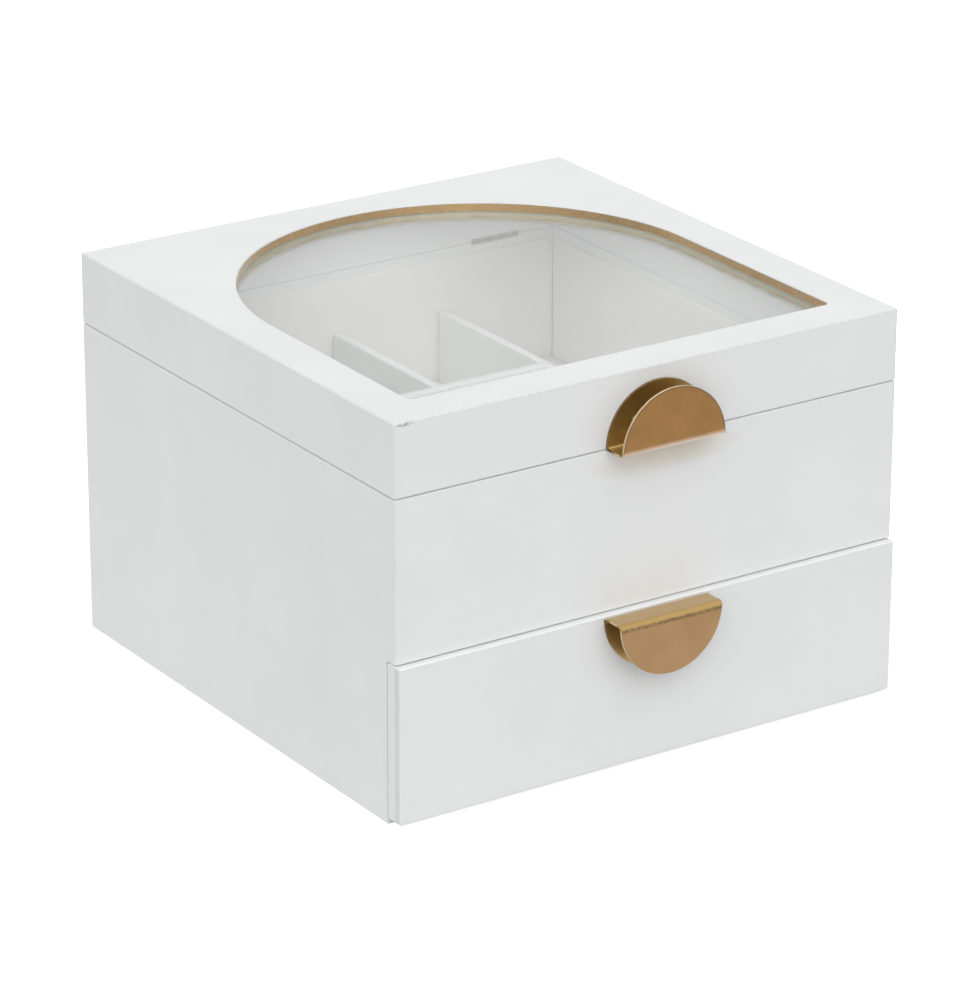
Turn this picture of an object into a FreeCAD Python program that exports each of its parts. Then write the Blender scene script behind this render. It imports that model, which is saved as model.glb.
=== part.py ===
import FreeCAD, Part

# Square wooden jewelry box: a lined tray under a hinged lid with an arched window, over a full-width drawer.
# Frame: +Z up, the front (with the two handles) faces -Y, the hinges are at +Y.
# The origin is the centre of the underside. Lengths are in millimetres.
# At rest the lid and the drawer are closed. The drawer's front lies before the boards and stands proud.

import math
import os
import re

import Sketcher

# Every size that can be set by itself, once. They become the cells of the sheet "Sizes".
SIZES = {
    # outside and boards
    "box_width": 200.0,
    "box_depth": 200.0,
    "box_height": 140.0,
    "board": 6.0,
    "end_board": 5.0,
    "corner_round": 0.6,
    "edge_bevel": 0.4,
    # lid and its window
    "lid_height": 25.6,
    "lid_gap": 0.2,
    "top_thickness": 5.0,
    "window_border": 16.0,
    "window_corner": 2.5,
    "glass_thickness": 2.0,
    "glass_ledge": 4.0,
    "glass_play": 0.3,
    "trim_thickness": 0.3,
    "trim_recess": 0.2,
    # floors, linings and dividers of the tray
    "base_thickness": 3.0,
    "floor_thickness": 3.0,
    "floor_lip": 3.0,
    "groove_depth": 2.0,
    "lining_thickness": 0.6,
    "lining_drop": 3.8,
    "felt_thickness": 1.0,
    "felt_play": 0.3,
    "divider_thickness": 3.2,
    "divider_height": 28.1,
    "divider_offset": 45.0,
    "divider_round": 0.8,
    "divider_play": 0.6,
    "cross_thickness": 4.0,
    "housing_depth": 1.0,
    "cell_depth": 65.5,
    # drawer
    "drawer_ground_gap": 2.0,
    "drawer_front_height": 55.1,
    "drawer_seam": 0.3,
    "drawer_inset": 0.2,
    "drawer_gap": 0.4,
    "drawer_front_thickness": 7.0,
    "drawer_board": 4.0,
    "drawer_groove": 1.5,
    "drawer_side_height": 46.0,
    "drawer_side_play": 0.8,
    "drawer_run_play": 0.3,
    "drawer_back_gap": 3.0,
    "drawer_bottom_thickness": 2.5,
    "drawer_bottom_lift": 2.0,
    # half-moon handles, folded from one sheet
    "handle_radius": 20.3,
    "handle_depth": 10.0,
    "handle_sheet": 1.0,
    "fold_radius": 2.0,
    "fold_drop": 0.5,
    "lid_handle_overhang": 0.1,
    "drawer_handle_inset": 0.3,
    "handle_screw_offset": 9.0,
    "handle_screw_height": 8.5,
    "handle_screw_radius": 1.5,
    "handle_screw_head_radius": 2.75,
    "handle_screw_head_height": 1.8,
    "screw_play": 0.05,
    # butt hinges, let into the edges at the back seam
    "hinge_margin": 31.5,
    "hinge_length": 20.3,
    "leaf_thickness": 1.1,
    "leaf_play": 0.1,
    "pin_setback": 1.9,
    "pin_radius": 0.8,
    "pin_play": 0.05,
    "knuckle_radius": 1.6,
    "knuckle_gap": 0.2,
    "hinge_screw_offset": 6.5,
    "hinge_screw_radius": 0.9,
    "hinge_screw_head_radius": 1.6,
    "hinge_screw_length": 9.0,
}

# Places and sizes that follow from those above, by name.
DERIVED = {
    "inner_width": "box_width - 2 * board",
    "inner_depth": "box_depth - 2 * end_board",
    "front_face": "-box_depth / 2",
    "back_face": "box_depth / 2",
    "body_top": "box_height - lid_height - lid_gap",
    "lid_bottom": "box_height - lid_height",
    "top_underside": "box_height - top_thickness",
    "rail_height": "lid_height - top_thickness",
    "arch_radius": "box_width / 2 - window_border",
    "arch_centre": "back_face - window_border - arch_radius",
    "window_front": "front_face + window_border",
    "lip_height": "top_thickness - glass_thickness",
    "drawer_front_top": "drawer_ground_gap + drawer_front_height",
    "front_panel_bottom": "drawer_front_top + drawer_seam",
    "floor_bottom": "front_panel_bottom + floor_lip",
    "floor_top": "floor_bottom + floor_thickness",
    "floor_width": "inner_width + 2 * groove_depth",
    "floor_depth": "inner_depth + 2 * groove_depth",
    "lining_height": "body_top - lining_drop - floor_top",
    "tray_width": "inner_width - 2 * lining_thickness",
    "tray_depth": "inner_depth - 2 * lining_thickness",
    "cross_back": "tray_depth / 2 - cell_depth",
    "cross_front": "cross_back - cross_thickness",
    "between_dividers": "2 * divider_offset - divider_thickness",
    "cross_width": "between_dividers + 2 * housing_depth - divider_play",
    "drawer_front_back": "front_face + end_board - drawer_gap",
    "drawer_front_face": "drawer_front_back - drawer_front_thickness",
    "drawer_low": "base_thickness + drawer_run_play",
    "drawer_width": "inner_width - 2 * drawer_side_play",
    "drawer_hollow_width": "drawer_width - 2 * drawer_board",
    "drawer_end": "inner_depth / 2 - drawer_back_gap",
    "drawer_length": "drawer_end - drawer_front_back",
    "drawer_bottom_low": "drawer_low + drawer_bottom_lift",
    "drawer_bottom_width": "drawer_hollow_width + 2 * drawer_groove",
    "drawer_bottom_depth": "drawer_length - drawer_board + 2 * drawer_groove",
    "lid_handle_low": "lid_bottom - lid_handle_overhang",
    "drawer_handle_high": "drawer_front_top - drawer_handle_inset",
    "handle_hole": "handle_screw_radius + screw_play",
    "past_handle_width": "3 * handle_radius",
    "past_handle_depth": "3 * handle_depth",
    "hinge_offset": "box_width / 2 - hinge_margin",
    "pin_line": "back_face + pin_setback",
    "seam_line": "lid_bottom - lid_gap / 2",
    "knuckle_reach": "knuckle_radius + knuckle_gap",
    "knuckle_length": "hinge_length / 3",
    "mortise_length": "hinge_length + 2 * leaf_play",
    "hinge_hole": "hinge_screw_radius + screw_play",
    "past_leaf": "4 * knuckle_radius",
    "past_hinge": "2 * hinge_length",
}

# Two lengths that differ by less than this many millimetres count as equal.
NEAR = 0.0001

doc = FreeCAD.newDocument("jewelry_box")
sheet = doc.addObject("Spreadsheet::Sheet", "Sizes")
for row, (alias, number) in enumerate(SIZES.items(), 1):
    sheet.set("A%d" % row, alias.replace("_", " "))
    sheet.set("B%d" % row, str(number))
    sheet.setAlias("B%d" % row, alias)
doc.recompute()

nodes = []


def formula(text):
    """Write a formula for the document: a derived name opens up, a size becomes its cell."""
    def word(match):
        name = match.group(0)
        if name in DERIVED:
            return "(" + formula(DERIVED[name]) + ")"
        if name in SIZES:
            return "Sizes." + name
        return name
    return re.sub(r"[a-z_]+", word, text)


def value(text):
    """The number that a formula gives now, for drawing a sketch near its final place."""
    return float(sheet.evalExpression(formula(text)))


def bind(item, prop, text):
    """Tie a property of a feature to a formula."""
    item.setExpression(prop, formula(text))


def place(item, x, y, z):
    """Tie the place of a sub-part to formulas."""
    bind(item, "Placement.Base.x", x)
    bind(item, "Placement.Base.y", y)
    bind(item, "Placement.Base.z", z)


def new_body(label, x="0", y="0", z="0"):
    """An empty sub-part with its own origin at (x, y, z)."""
    body = doc.addObject("PartDesign::Body", label)
    place(body, x, y, z)
    nodes.append(body)
    return body


def new_sketch(body, plane, name, offset="0"):
    """A sketch on one of the body's origin planes, moved along the plane's normal by offset."""
    sketch = body.newObject("Sketcher::SketchObject", name)
    support = next(item for item in body.Origin.OriginFeatures if item.Role == plane)
    sketch.AttachmentSupport = (support, [""])
    sketch.MapMode = "FlatFace"
    bind(sketch, "AttachmentOffset.Base.z", offset)
    return sketch


def drive(sketch, kind, places, text):
    """Add a dimension whose value is a formula. places are the geometry and point numbers it measures."""
    index = sketch.addConstraint(Sketcher.Constraint(kind, *places, value(text)))
    bind(sketch, "Constraints[%d]" % index, text)


def rectangle(sketch, left, bottom, width, height):
    """Draw a closed rectangle from its lower left corner and its two sides."""
    x = value(left)
    y = value(bottom)
    corners = [(x, y), (x + value(width), y), (x + value(width), y + value(height)), (x, y + value(height))]
    points = [FreeCAD.Vector(u, v, 0) for u, v in corners]
    first = sketch.GeometryCount
    for number in range(4):
        sketch.addGeometry(Part.LineSegment(points[number], points[(number + 1) % 4]), False)
    for number in range(4):
        after = first + (number + 1) % 4
        sketch.addConstraint(Sketcher.Constraint("Coincident", first + number, 2, after, 1))
    for number, kind in enumerate(["Horizontal", "Vertical", "Horizontal", "Vertical"]):
        sketch.addConstraint(Sketcher.Constraint(kind, first + number))
    drive(sketch, "DistanceX", (first, 1, first, 2), width)
    drive(sketch, "DistanceY", (first + 1, 1, first + 1, 2), height)
    drive(sketch, "DistanceX", (-1, 1, first, 1), left)
    drive(sketch, "DistanceY", (-1, 1, first, 1), bottom)


def circle(sketch, x, y, radius):
    """Draw a circle from its centre and radius."""
    centre = FreeCAD.Vector(value(x), value(y), 0)
    index = sketch.addGeometry(Part.Circle(centre, FreeCAD.Vector(0, 0, 1), value(radius)), False)
    drive(sketch, "Radius", (index,), radius)
    drive(sketch, "DistanceX", (-1, 1, index, 3), x)
    drive(sketch, "DistanceY", (-1, 1, index, 3), y)


def arc(sketch, centre, radius, start, end):
    """Draw an arc from start to end, as turns of a quarter circle."""
    whole = Part.Circle(FreeCAD.Vector(centre[0], centre[1], 0), FreeCAD.Vector(0, 0, 1), radius)
    quarter = math.pi / 2
    return sketch.addGeometry(Part.ArcOfCircle(whole, start * quarter, end * quarter), False)


def arch(sketch, grow):
    """Draw the window's outline, moved outwards by grow: a half circle at the back on two straight sides,
    and a straight front edge with two small round corners."""
    radius_text = "arch_radius + (%s)" % grow
    front_text = "window_front - (%s)" % grow
    corner_text = "window_corner + (%s)" % grow
    radius = value(radius_text)
    centre = value("arch_centre")
    front = value(front_text)
    corner = value(corner_text)

    def line(start, end):
        ends = [FreeCAD.Vector(u, v, 0) for u, v in (start, end)]
        return sketch.addGeometry(Part.LineSegment(*ends), False)

    dome = arc(sketch, (0, centre), radius, 0, 2)
    left = line((-radius, centre), (-radius, front + corner))
    left_corner = arc(sketch, (corner - radius, front + corner), corner, 2, 3)
    sill = line((corner - radius, front), (radius - corner, front))
    right_corner = arc(sketch, (radius - corner, front + corner), corner, 3, 4)
    right = line((radius, front + corner), (radius, centre))
    loop = [dome, left, left_corner, sill, right_corner, right]
    for number, piece in enumerate(loop):
        after = loop[(number + 1) % len(loop)]
        sketch.addConstraint(Sketcher.Constraint("Tangent", piece, 2, after, 1))
    sketch.addConstraint(Sketcher.Constraint("Vertical", left))
    sketch.addConstraint(Sketcher.Constraint("Vertical", right))
    sketch.addConstraint(Sketcher.Constraint("Horizontal", sill))
    sketch.addConstraint(Sketcher.Constraint("PointOnObject", dome, 3, -2))
    drive(sketch, "Radius", (dome,), radius_text)
    drive(sketch, "Radius", (left_corner,), corner_text)
    drive(sketch, "Radius", (right_corner,), corner_text)
    drive(sketch, "DistanceY", (-1, 1, dome, 3), "arch_centre")
    drive(sketch, "DistanceY", (-1, 1, sill, 1), front_text)


def pad(body, sketch, name, length, middle=False, backwards=False):
    """Raise a sketch into a solid."""
    feature = body.newObject("PartDesign::Pad", name)
    feature.Profile = sketch
    feature.SideType = "Symmetric" if middle else "One side"
    feature.Reversed = backwards
    bind(feature, "Length", length)
    return feature


def pocket(body, sketch, name, length=None, middle=False, backwards=False):
    """Cut a sketch into the solid, by a length or right through, and make sure that it cuts."""
    doc.recompute()
    before = body.Shape.Volume
    feature = body.newObject("PartDesign::Pocket", name)
    feature.Profile = sketch
    feature.SideType = "Symmetric" if middle else "One side"
    feature.Reversed = backwards
    if length is None:
        feature.Type = "ThroughAll"
    else:
        bind(feature, "Length", length)
    doc.recompute()
    if not body.Shape.Volume < before:
        raise RuntimeError("%s of %s cuts nothing" % (name, body.Label))
    return feature


def cut_block(body, name, corner, size):
    """Cut a block out of the solid: its lowest corner and its sides, each a triple of formulas."""
    top = "(%s) + (%s)" % (corner[2], size[2])
    sketch = new_sketch(body, "XY_Plane", name + "_sketch", top)
    rectangle(sketch, corner[0], corner[1], size[0], size[1])
    return pocket(body, sketch, name, size[2])


def level_with(edge, direction, place):
    """Whether an edge lies wholly at one place along X, Y or Z."""
    low = getattr(edge.BoundBox, direction + "Min")
    high = getattr(edge.BoundBox, direction + "Max")
    return abs(low - place) < NEAR and abs(high - place) < NEAR


def dress(body, kind, name, wanted, size):
    """Round or bevel the edges of the solid that pass a test."""
    doc.recompute()
    base = body.Tip
    picked = ["Edge%d" % number for number, edge in enumerate(base.Shape.Edges, 1) if wanted(edge)]
    feature = body.newObject(kind, name)
    feature.Base = (base, picked)
    bind(feature, "Radius" if kind == "PartDesign::Fillet" else "Size", size)
    return feature


def on_outer_sides(body, pairs):
    """A test for the edges that lie on pairs of outer sides of the solid, such as ("x-", "z+")."""
    doc.recompute()
    box = body.Tip.Shape.BoundBox
    limits = {"x-": box.XMin, "x+": box.XMax, "y-": box.YMin, "y+": box.YMax, "z-": box.ZMin, "z+": box.ZMax}

    def wanted(edge):
        return any(all(level_with(edge, side[0].upper(), limits[side]) for side in pair) for pair in pairs)

    return wanted


def soften(body, name, radius, *pairs):
    """Round the edges on pairs of outer sides of the solid."""
    return dress(body, "PartDesign::Fillet", name, on_outer_sides(body, pairs), radius)


def bevel(body, name, size, *pairs):
    """Take the sharpness off the edges on pairs of outer sides of the solid with a narrow flat."""
    return dress(body, "PartDesign::Chamfer", name, on_outer_sides(body, pairs), size)


def board(label, plane, width, height, thickness, at, corner=("0", "0")):
    """A flat board. Its outline is drawn on a plane, its thickness goes to the positive side of that plane,
    and its origin is put at the place given."""
    body = new_body(label, *at)
    sketch = new_sketch(body, plane, label + "_outline")
    rectangle(sketch, corner[0], corner[1], width, height)
    pad(body, sketch, label + "_board", thickness, backwards=plane == "XZ_Plane")
    return body


def repeat(body, feature, name, direction, length, count):
    """Repeat a feature in a row."""
    row_feature = body.newObject("PartDesign::LinearPattern", name)
    row_feature.Originals = [feature]
    row_feature.Direction = direction
    row_feature.Occurrences = count
    bind(row_feature, "Length", length)
    body.Tip = row_feature
    return row_feature


def handle_holes(body, offset, x, z, depth):
    """Two holes for the handle's screws, drilled towards +Y from a plane that lies offset before the body."""
    sketch = new_sketch(body, "XZ_Plane", body.Label + "_hole_sketch", offset)
    for side in ("-", "+"):
        circle(sketch, "(%s) %s handle_screw_offset" % (x, side), z, "handle_hole")
    pocket(body, sketch, body.Label + "_holes", depth)


def hinge_seats(body, z, hole_z, hole_backwards):
    """Two shallow seats right across the edge of a back board, each with two holes for the hinge's screws."""
    for side, sign in (("left", "-"), ("right", "+")):
        middle = "box_width / 2 %s hinge_offset" % sign
        corner = ("%s - mortise_length / 2" % middle, "0", z)
        cut_block(body, side + "_seat_" + body.Label, corner,
                  ("mortise_length", "end_board", "leaf_thickness"))
        sketch = new_sketch(body, "XY_Plane", side + "_hole_sketch_" + body.Label, hole_z)
        for step in ("-", "+"):
            circle(sketch, "%s %s hinge_screw_offset" % (middle, step), "end_board / 2", "hinge_hole")
        pocket(body, sketch, side + "_holes_" + body.Label, "hinge_screw_length", backwards=hole_backwards)


# The side panels are the thicker boards and stand between the front and back panels. A groove inside holds
# the tray's floor.
for side, x, groove_x in (("left", "-box_width / 2", "board - groove_depth"),
                          ("right", "inner_width / 2", "0")):
    panel = board(side + "_side_panel", "YZ_Plane", "inner_depth", "body_top", "board",
                  (x, "-inner_depth / 2", "0"))
    outer = "x-" if side == "left" else "x+"
    bevel(panel, side + "_panel_edges", "edge_bevel", (outer, "z+"), (outer, "z-"))
    cut_block(panel, side + "_floor_groove", (groove_x, "0", "floor_bottom"),
              ("groove_depth", "inner_depth", "floor_thickness"))

# Back panel: covers the ends of the side panels, grooved for the floor, its top edge holds the hinges.
back = board("back_panel", "XZ_Plane", "box_width", "body_top", "end_board",
             ("-box_width / 2", "inner_depth / 2", "0"))
soften(back, "back_corners", "corner_round", ("x-", "y+"), ("x+", "y+"))
bevel(back, "back_edges", "edge_bevel", ("y+", "z+"), ("y+", "z-"))
cut_block(back, "back_floor_groove", ("board - groove_depth", "0", "floor_bottom"),
          ("floor_width", "groove_depth", "floor_thickness"))
hinge_seats(back, "body_top - leaf_thickness", "body_top - leaf_thickness", False)

# Upper front panel: closes the tray above the drawer.
front = board("upper_front_panel", "XZ_Plane", "box_width", "body_top - front_panel_bottom", "end_board",
              ("-box_width / 2", "front_face", "front_panel_bottom"))
soften(front, "front_corners", "corner_round", ("x-", "y-"), ("x+", "y-"))
bevel(front, "front_edges", "edge_bevel", ("y-", "z+"), ("y-", "z-"))
cut_block(front, "front_floor_groove", ("board - groove_depth", "end_board - groove_depth", "floor_lip"),
          ("floor_width", "groove_depth", "floor_thickness"))

# Base panel under the drawer, flush with the underside, and the floor of the tray in its grooves.
board("base_panel", "XY_Plane", "inner_width", "inner_depth", "base_thickness",
      ("-inner_width / 2", "-inner_depth / 2", "0"))
board("compartment_floor", "XY_Plane", "floor_width", "floor_depth", "floor_thickness",
      ("-floor_width / 2", "-floor_depth / 2", "floor_bottom"))

# Thin lining boards on the four walls of the tray. They end a little below the rim.
for side, y in (("front", "-inner_depth / 2"), ("back", "tray_depth / 2")):
    board(side + "_wall_lining", "XZ_Plane", "inner_width", "lining_height", "lining_thickness",
          ("-inner_width / 2", y, "floor_top"))
for side, x in (("left", "-inner_width / 2"), ("right", "tray_width / 2")):
    board(side + "_wall_lining", "YZ_Plane", "tray_depth", "lining_height", "lining_thickness",
          (x, "-tray_depth / 2", "floor_top"))

# The left and right dividers run through the tray from front to back. A housing in the inner face of each
# takes an end of the cross divider.
for side, sign, groove_x in (("left", "-", "divider_thickness - housing_depth"), ("right", "+", "0")):
    divider = board(side + "_divider", "YZ_Plane", "tray_depth - divider_play", "divider_height",
                    "divider_thickness",
                    ("%s divider_offset - divider_thickness / 2" % sign, "-tray_depth / 2", "floor_top"))
    soften(divider, side + "_divider_edges", "divider_round", ("x-", "z+"), ("x+", "z+"))
    cut_block(divider, side + "_housing", (groove_x, "cross_front + tray_depth / 2", "0"),
              ("housing_depth", "cross_thickness", "divider_height"))

# Cross divider: parts the front tray from the two cells behind it. A housing in its back face takes the end
# of the centre divider, which stands between the two cells.
cross = board("cross_divider", "XZ_Plane", "cross_width", "divider_height", "cross_thickness",
              ("-cross_width / 2", "cross_front", "floor_top"))
soften(cross, "cross_top_edges", "divider_round", ("y-", "z+"), ("y+", "z+"))
cut_block(cross, "centre_housing",
          ("cross_width / 2 - divider_thickness / 2", "cross_thickness - housing_depth", "0"),
          ("divider_thickness", "housing_depth", "divider_height"))
centre = board("centre_divider", "YZ_Plane", "cell_depth + housing_depth - divider_play", "divider_height",
               "divider_thickness", ("-divider_thickness / 2", "cross_back - housing_depth", "floor_top"))
soften(centre, "centre_divider_edges", "divider_round", ("x-", "z+"), ("x+", "z+"))


def felt_pad(name, x, y, z, width, depth):
    """A thin sheet of felt, smaller all round than the hollow whose corner and size are given."""
    felt = doc.addObject("Part::Box", name)
    bind(felt, "Length", "(%s) - 2 * felt_play" % width)
    bind(felt, "Width", "(%s) - 2 * felt_play" % depth)
    bind(felt, "Height", "felt_thickness")
    place(felt, "(%s) + felt_play" % x, "(%s) + felt_play" % y, z)
    return felt


# Felt on the floor of the two long side trays, of the front tray and of the two cells.
cell_width = "between_dividers / 2 - divider_thickness / 2"
side_width = "tray_width / 2 - between_dividers / 2 - divider_thickness"
hollows = [("-tray_width / 2", "-tray_depth / 2", side_width, "tray_depth"),
           ("tray_width / 2 - (%s)" % side_width, "-tray_depth / 2", side_width, "tray_depth"),
           ("-between_dividers / 2", "-tray_depth / 2", "between_dividers", "cross_front + tray_depth / 2"),
           ("-between_dividers / 2", "cross_back", cell_width, "cell_depth"),
           ("divider_thickness / 2", "cross_back", cell_width, "cell_depth")]
pads = [felt_pad("tray_pad_%d" % number, x, y, "floor_top", width, depth)
        for number, (x, y, width, depth) in enumerate(hollows, 1)]
tray_pads = doc.addObject("Part::Compound", "tray_floor_pads")
tray_pads.Links = pads
nodes.append(tray_pads)

# Lid top: a square board with an arched opening, and a rebate below that holds the glass.
top = board("lid_top_panel", "XY_Plane", "box_width", "box_depth", "top_thickness",
            ("0", "0", "top_underside"), ("-box_width / 2", "-box_depth / 2"))
outer_corners = [("x-", "y-"), ("x-", "y+"), ("x+", "y-"), ("x+", "y+")]
upper_edges = [("x-", "z+"), ("x+", "z+"), ("y-", "z+"), ("y+", "z+")]
soften(top, "lid_top_corners", "corner_round", *outer_corners)
bevel(top, "lid_top_edges", "edge_bevel", *upper_edges)
opening = new_sketch(top, "XY_Plane", "window_outline", "top_thickness")
arch(opening, "0")
pocket(top, opening, "window_opening")
rebate = new_sketch(top, "XY_Plane", "rebate_outline", "glass_thickness")
arch(rebate, "glass_ledge")
pocket(top, rebate, "glass_rebate", "glass_thickness")

# Window glass in the rebate, and the thin gold band that stands on it and lines the opening. The band ends
# just below the board's top face.
glass = new_body("window_glass", z="top_underside")
glass_outline = new_sketch(glass, "XY_Plane", "glass_outline")
arch(glass_outline, "glass_ledge - glass_play")
pad(glass, glass_outline, "glass_pane", "glass_thickness")
trim = new_body("window_trim", z="top_underside + glass_thickness")
trim_outline = new_sketch(trim, "XY_Plane", "trim_outline")
arch(trim_outline, "0")
arch(trim_outline, "-trim_thickness")
pad(trim, trim_outline, "trim_band", "lip_height - trim_recess")

# Lid rails below the top board. The front one is drilled for the handle, the back one seats the hinges.
lid_front = board("lid_front_rail", "XZ_Plane", "box_width", "rail_height", "end_board",
                  ("-box_width / 2", "front_face", "lid_bottom"))
soften(lid_front, "lid_front_corners", "corner_round", ("x-", "y-"), ("x+", "y-"))
bevel(lid_front, "lid_front_edge", "edge_bevel", ("y-", "z-"))
handle_holes(lid_front, "0", "box_width / 2", "handle_screw_height - lid_handle_overhang", None)
lid_back = board("lid_back_rail", "XZ_Plane", "box_width", "rail_height", "end_board",
                 ("-box_width / 2", "inner_depth / 2", "lid_bottom"))
soften(lid_back, "lid_back_corners", "corner_round", ("x-", "y+"), ("x+", "y+"))
bevel(lid_back, "lid_back_edge", "edge_bevel", ("y+", "z-"))
hinge_seats(lid_back, "0", "leaf_thickness", True)
for side, x in (("left", "-box_width / 2"), ("right", "inner_width / 2")):
    rail = board("lid_%s_rail" % side, "YZ_Plane", "inner_depth", "rail_height", "board",
                 (x, "-inner_depth / 2", "lid_bottom"))
    outer = "x-" if side == "left" else "x+"
    bevel(rail, "lid_%s_edge" % side, "edge_bevel", (outer, "z-"))

# Drawer: a full-width front on a box of thinner boards, with its bottom let into grooves.
drawer_front = board("drawer_front", "XZ_Plane", "box_width - 2 * drawer_inset",
                     "drawer_front_height", "drawer_front_thickness",
                     ("-box_width / 2 + drawer_inset", "drawer_front_face", "drawer_ground_gap"))
soften(drawer_front, "drawer_front_corners", "corner_round", ("x-", "y-"), ("x+", "y-"))
bevel(drawer_front, "drawer_front_edges", "edge_bevel", ("y-", "z+"), ("y-", "z-"))
cut_block(drawer_front, "drawer_front_groove",
          ("box_width / 2 - drawer_inset - drawer_bottom_width / 2", "drawer_front_thickness - drawer_groove",
           "drawer_bottom_low - drawer_ground_gap"),
          ("drawer_bottom_width", "drawer_groove", "drawer_bottom_thickness"))
handle_holes(drawer_front, "0", "box_width / 2 - drawer_inset",
             "drawer_front_height - drawer_handle_inset - handle_screw_height", None)
for side, x, groove_x in (("left", "-drawer_width / 2", "drawer_board - drawer_groove"),
                          ("right", "drawer_hollow_width / 2", "0")):
    panel = board("drawer_%s_side" % side, "YZ_Plane", "drawer_length", "drawer_side_height", "drawer_board",
                  (x, "drawer_front_back", "drawer_low"))
    cut_block(panel, "drawer_%s_groove" % side, (groove_x, "0", "drawer_bottom_lift"),
              ("drawer_groove", "drawer_length - drawer_board + drawer_groove", "drawer_bottom_thickness"))
drawer_back = board("drawer_back", "XZ_Plane", "drawer_hollow_width", "drawer_side_height", "drawer_board",
                    ("-drawer_hollow_width / 2", "drawer_end - drawer_board", "drawer_low"))
cut_block(drawer_back, "drawer_back_groove", ("0", "0", "drawer_bottom_lift"),
          ("drawer_hollow_width", "drawer_groove", "drawer_bottom_thickness"))
board("drawer_bottom", "XY_Plane", "drawer_bottom_width", "drawer_bottom_depth", "drawer_bottom_thickness",
      ("-drawer_bottom_width / 2", "drawer_front_back - drawer_groove", "drawer_bottom_low"))
drawer_pad = felt_pad("drawer_floor_pad", "-drawer_hollow_width / 2", "drawer_front_back",
                      "drawer_bottom_low + drawer_bottom_thickness",
                      "drawer_hollow_width", "drawer_length - drawer_board")
nodes.append(drawer_pad)


def folded_handle(label, y, z, upside_down):
    """Half-moon handle folded from one sheet: a back plate on the wall, a rounded fold, and a front plate.
    Its own origin is on the wall, at the outside of the fold."""
    handle = new_body(label, "0", y, z)
    if upside_down:
        handle.Placement.Rotation = FreeCAD.Rotation(FreeCAD.Vector(0, 1, 0), 180)
    height = "fold_drop + handle_radius"
    block = new_sketch(handle, "YZ_Plane", label + "_side_view")
    rectangle(block, "-handle_depth", "0", "handle_depth", height)
    pad(handle, block, label + "_block", "2 * handle_radius", middle=True)
    soften(handle, label + "_outer_folds", "fold_radius", ("y-", "z-"), ("y+", "z-"))
    gap = new_sketch(handle, "YZ_Plane", label + "_gap_view")
    rectangle(gap, "handle_sheet - handle_depth", "handle_sheet", "handle_depth - 2 * handle_sheet", height)
    pocket(handle, gap, label + "_gap", "past_handle_width", middle=True)

    def inner_fold(edge):
        return level_with(edge, "Z", value("handle_sheet")) and edge.BoundBox.XLength > value("handle_radius")

    dress(handle, "PartDesign::Fillet", label + "_inner_folds", inner_fold, "fold_radius - handle_sheet")

    # what lies outside the half moon is cut away along Y
    moon = new_sketch(handle, "XZ_Plane", label + "_half_moon")
    rectangle(moon, "-2 * handle_radius", "-handle_radius", "4 * handle_radius", "4 * handle_radius")
    half_moon(moon)
    pocket(handle, moon, label + "_outline", "past_handle_depth", middle=True)
    handle_holes(handle, "handle_sheet", "0", "handle_screw_height", "handle_sheet")
    return handle


def half_moon(sketch):
    """Draw a half circle on two short straight sides that run on past the fold."""
    radius = value("handle_radius")
    rise = value("fold_drop")
    low = value("-handle_sheet")
    dome = arc(sketch, (0, rise), radius, 0, 2)
    corners = [(-radius, rise), (-radius, low), (radius, low), (radius, rise)]
    points = [FreeCAD.Vector(u, v, 0) for u, v in corners]
    left = sketch.addGeometry(Part.LineSegment(points[0], points[1]), False)
    foot = sketch.addGeometry(Part.LineSegment(points[1], points[2]), False)
    right = sketch.addGeometry(Part.LineSegment(points[2], points[3]), False)
    sketch.addConstraint(Sketcher.Constraint("Tangent", dome, 2, left, 1))
    sketch.addConstraint(Sketcher.Constraint("Coincident", left, 2, foot, 1))
    sketch.addConstraint(Sketcher.Constraint("Coincident", foot, 2, right, 1))
    sketch.addConstraint(Sketcher.Constraint("Tangent", right, 2, dome, 1))
    sketch.addConstraint(Sketcher.Constraint("Vertical", left))
    sketch.addConstraint(Sketcher.Constraint("Vertical", right))
    sketch.addConstraint(Sketcher.Constraint("Horizontal", foot))
    sketch.addConstraint(Sketcher.Constraint("PointOnObject", dome, 3, -2))
    drive(sketch, "Radius", (dome,), "handle_radius")
    drive(sketch, "DistanceY", (-1, 1, dome, 3), "fold_drop")
    drive(sketch, "DistanceY", (-1, 1, foot, 1), "-handle_sheet")


def revolved_screws(label, plane, axis, profile, across, spacing, at):
    """Two equal screws, each turned from a half outline about an axis of its sketch."""
    screws = new_body(label, *at)
    sketch = new_sketch(screws, plane, label + "_profile")
    corners = [FreeCAD.Vector(value(u), value(v), 0) for u, v in profile]
    count = len(corners)
    for number in range(count):
        sketch.addGeometry(Part.LineSegment(corners[number], corners[(number + 1) % count]), False)
    for number in range(count):
        sketch.addConstraint(Sketcher.Constraint("Coincident", number, 2, (number + 1) % count, 1))
    for number, (u, v) in enumerate(profile):
        drive(sketch, "DistanceX", (-1, 1, number, 1), u)
        drive(sketch, "DistanceY", (-1, 1, number, 1), v)
    turned = screws.newObject("PartDesign::Revolution", label + "_turned")
    turned.Profile = sketch
    turned.ReferenceAxis = (sketch, [axis])
    repeat(screws, turned, label + "_pair", (sketch, [across]), spacing, 2)
    return screws


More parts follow.
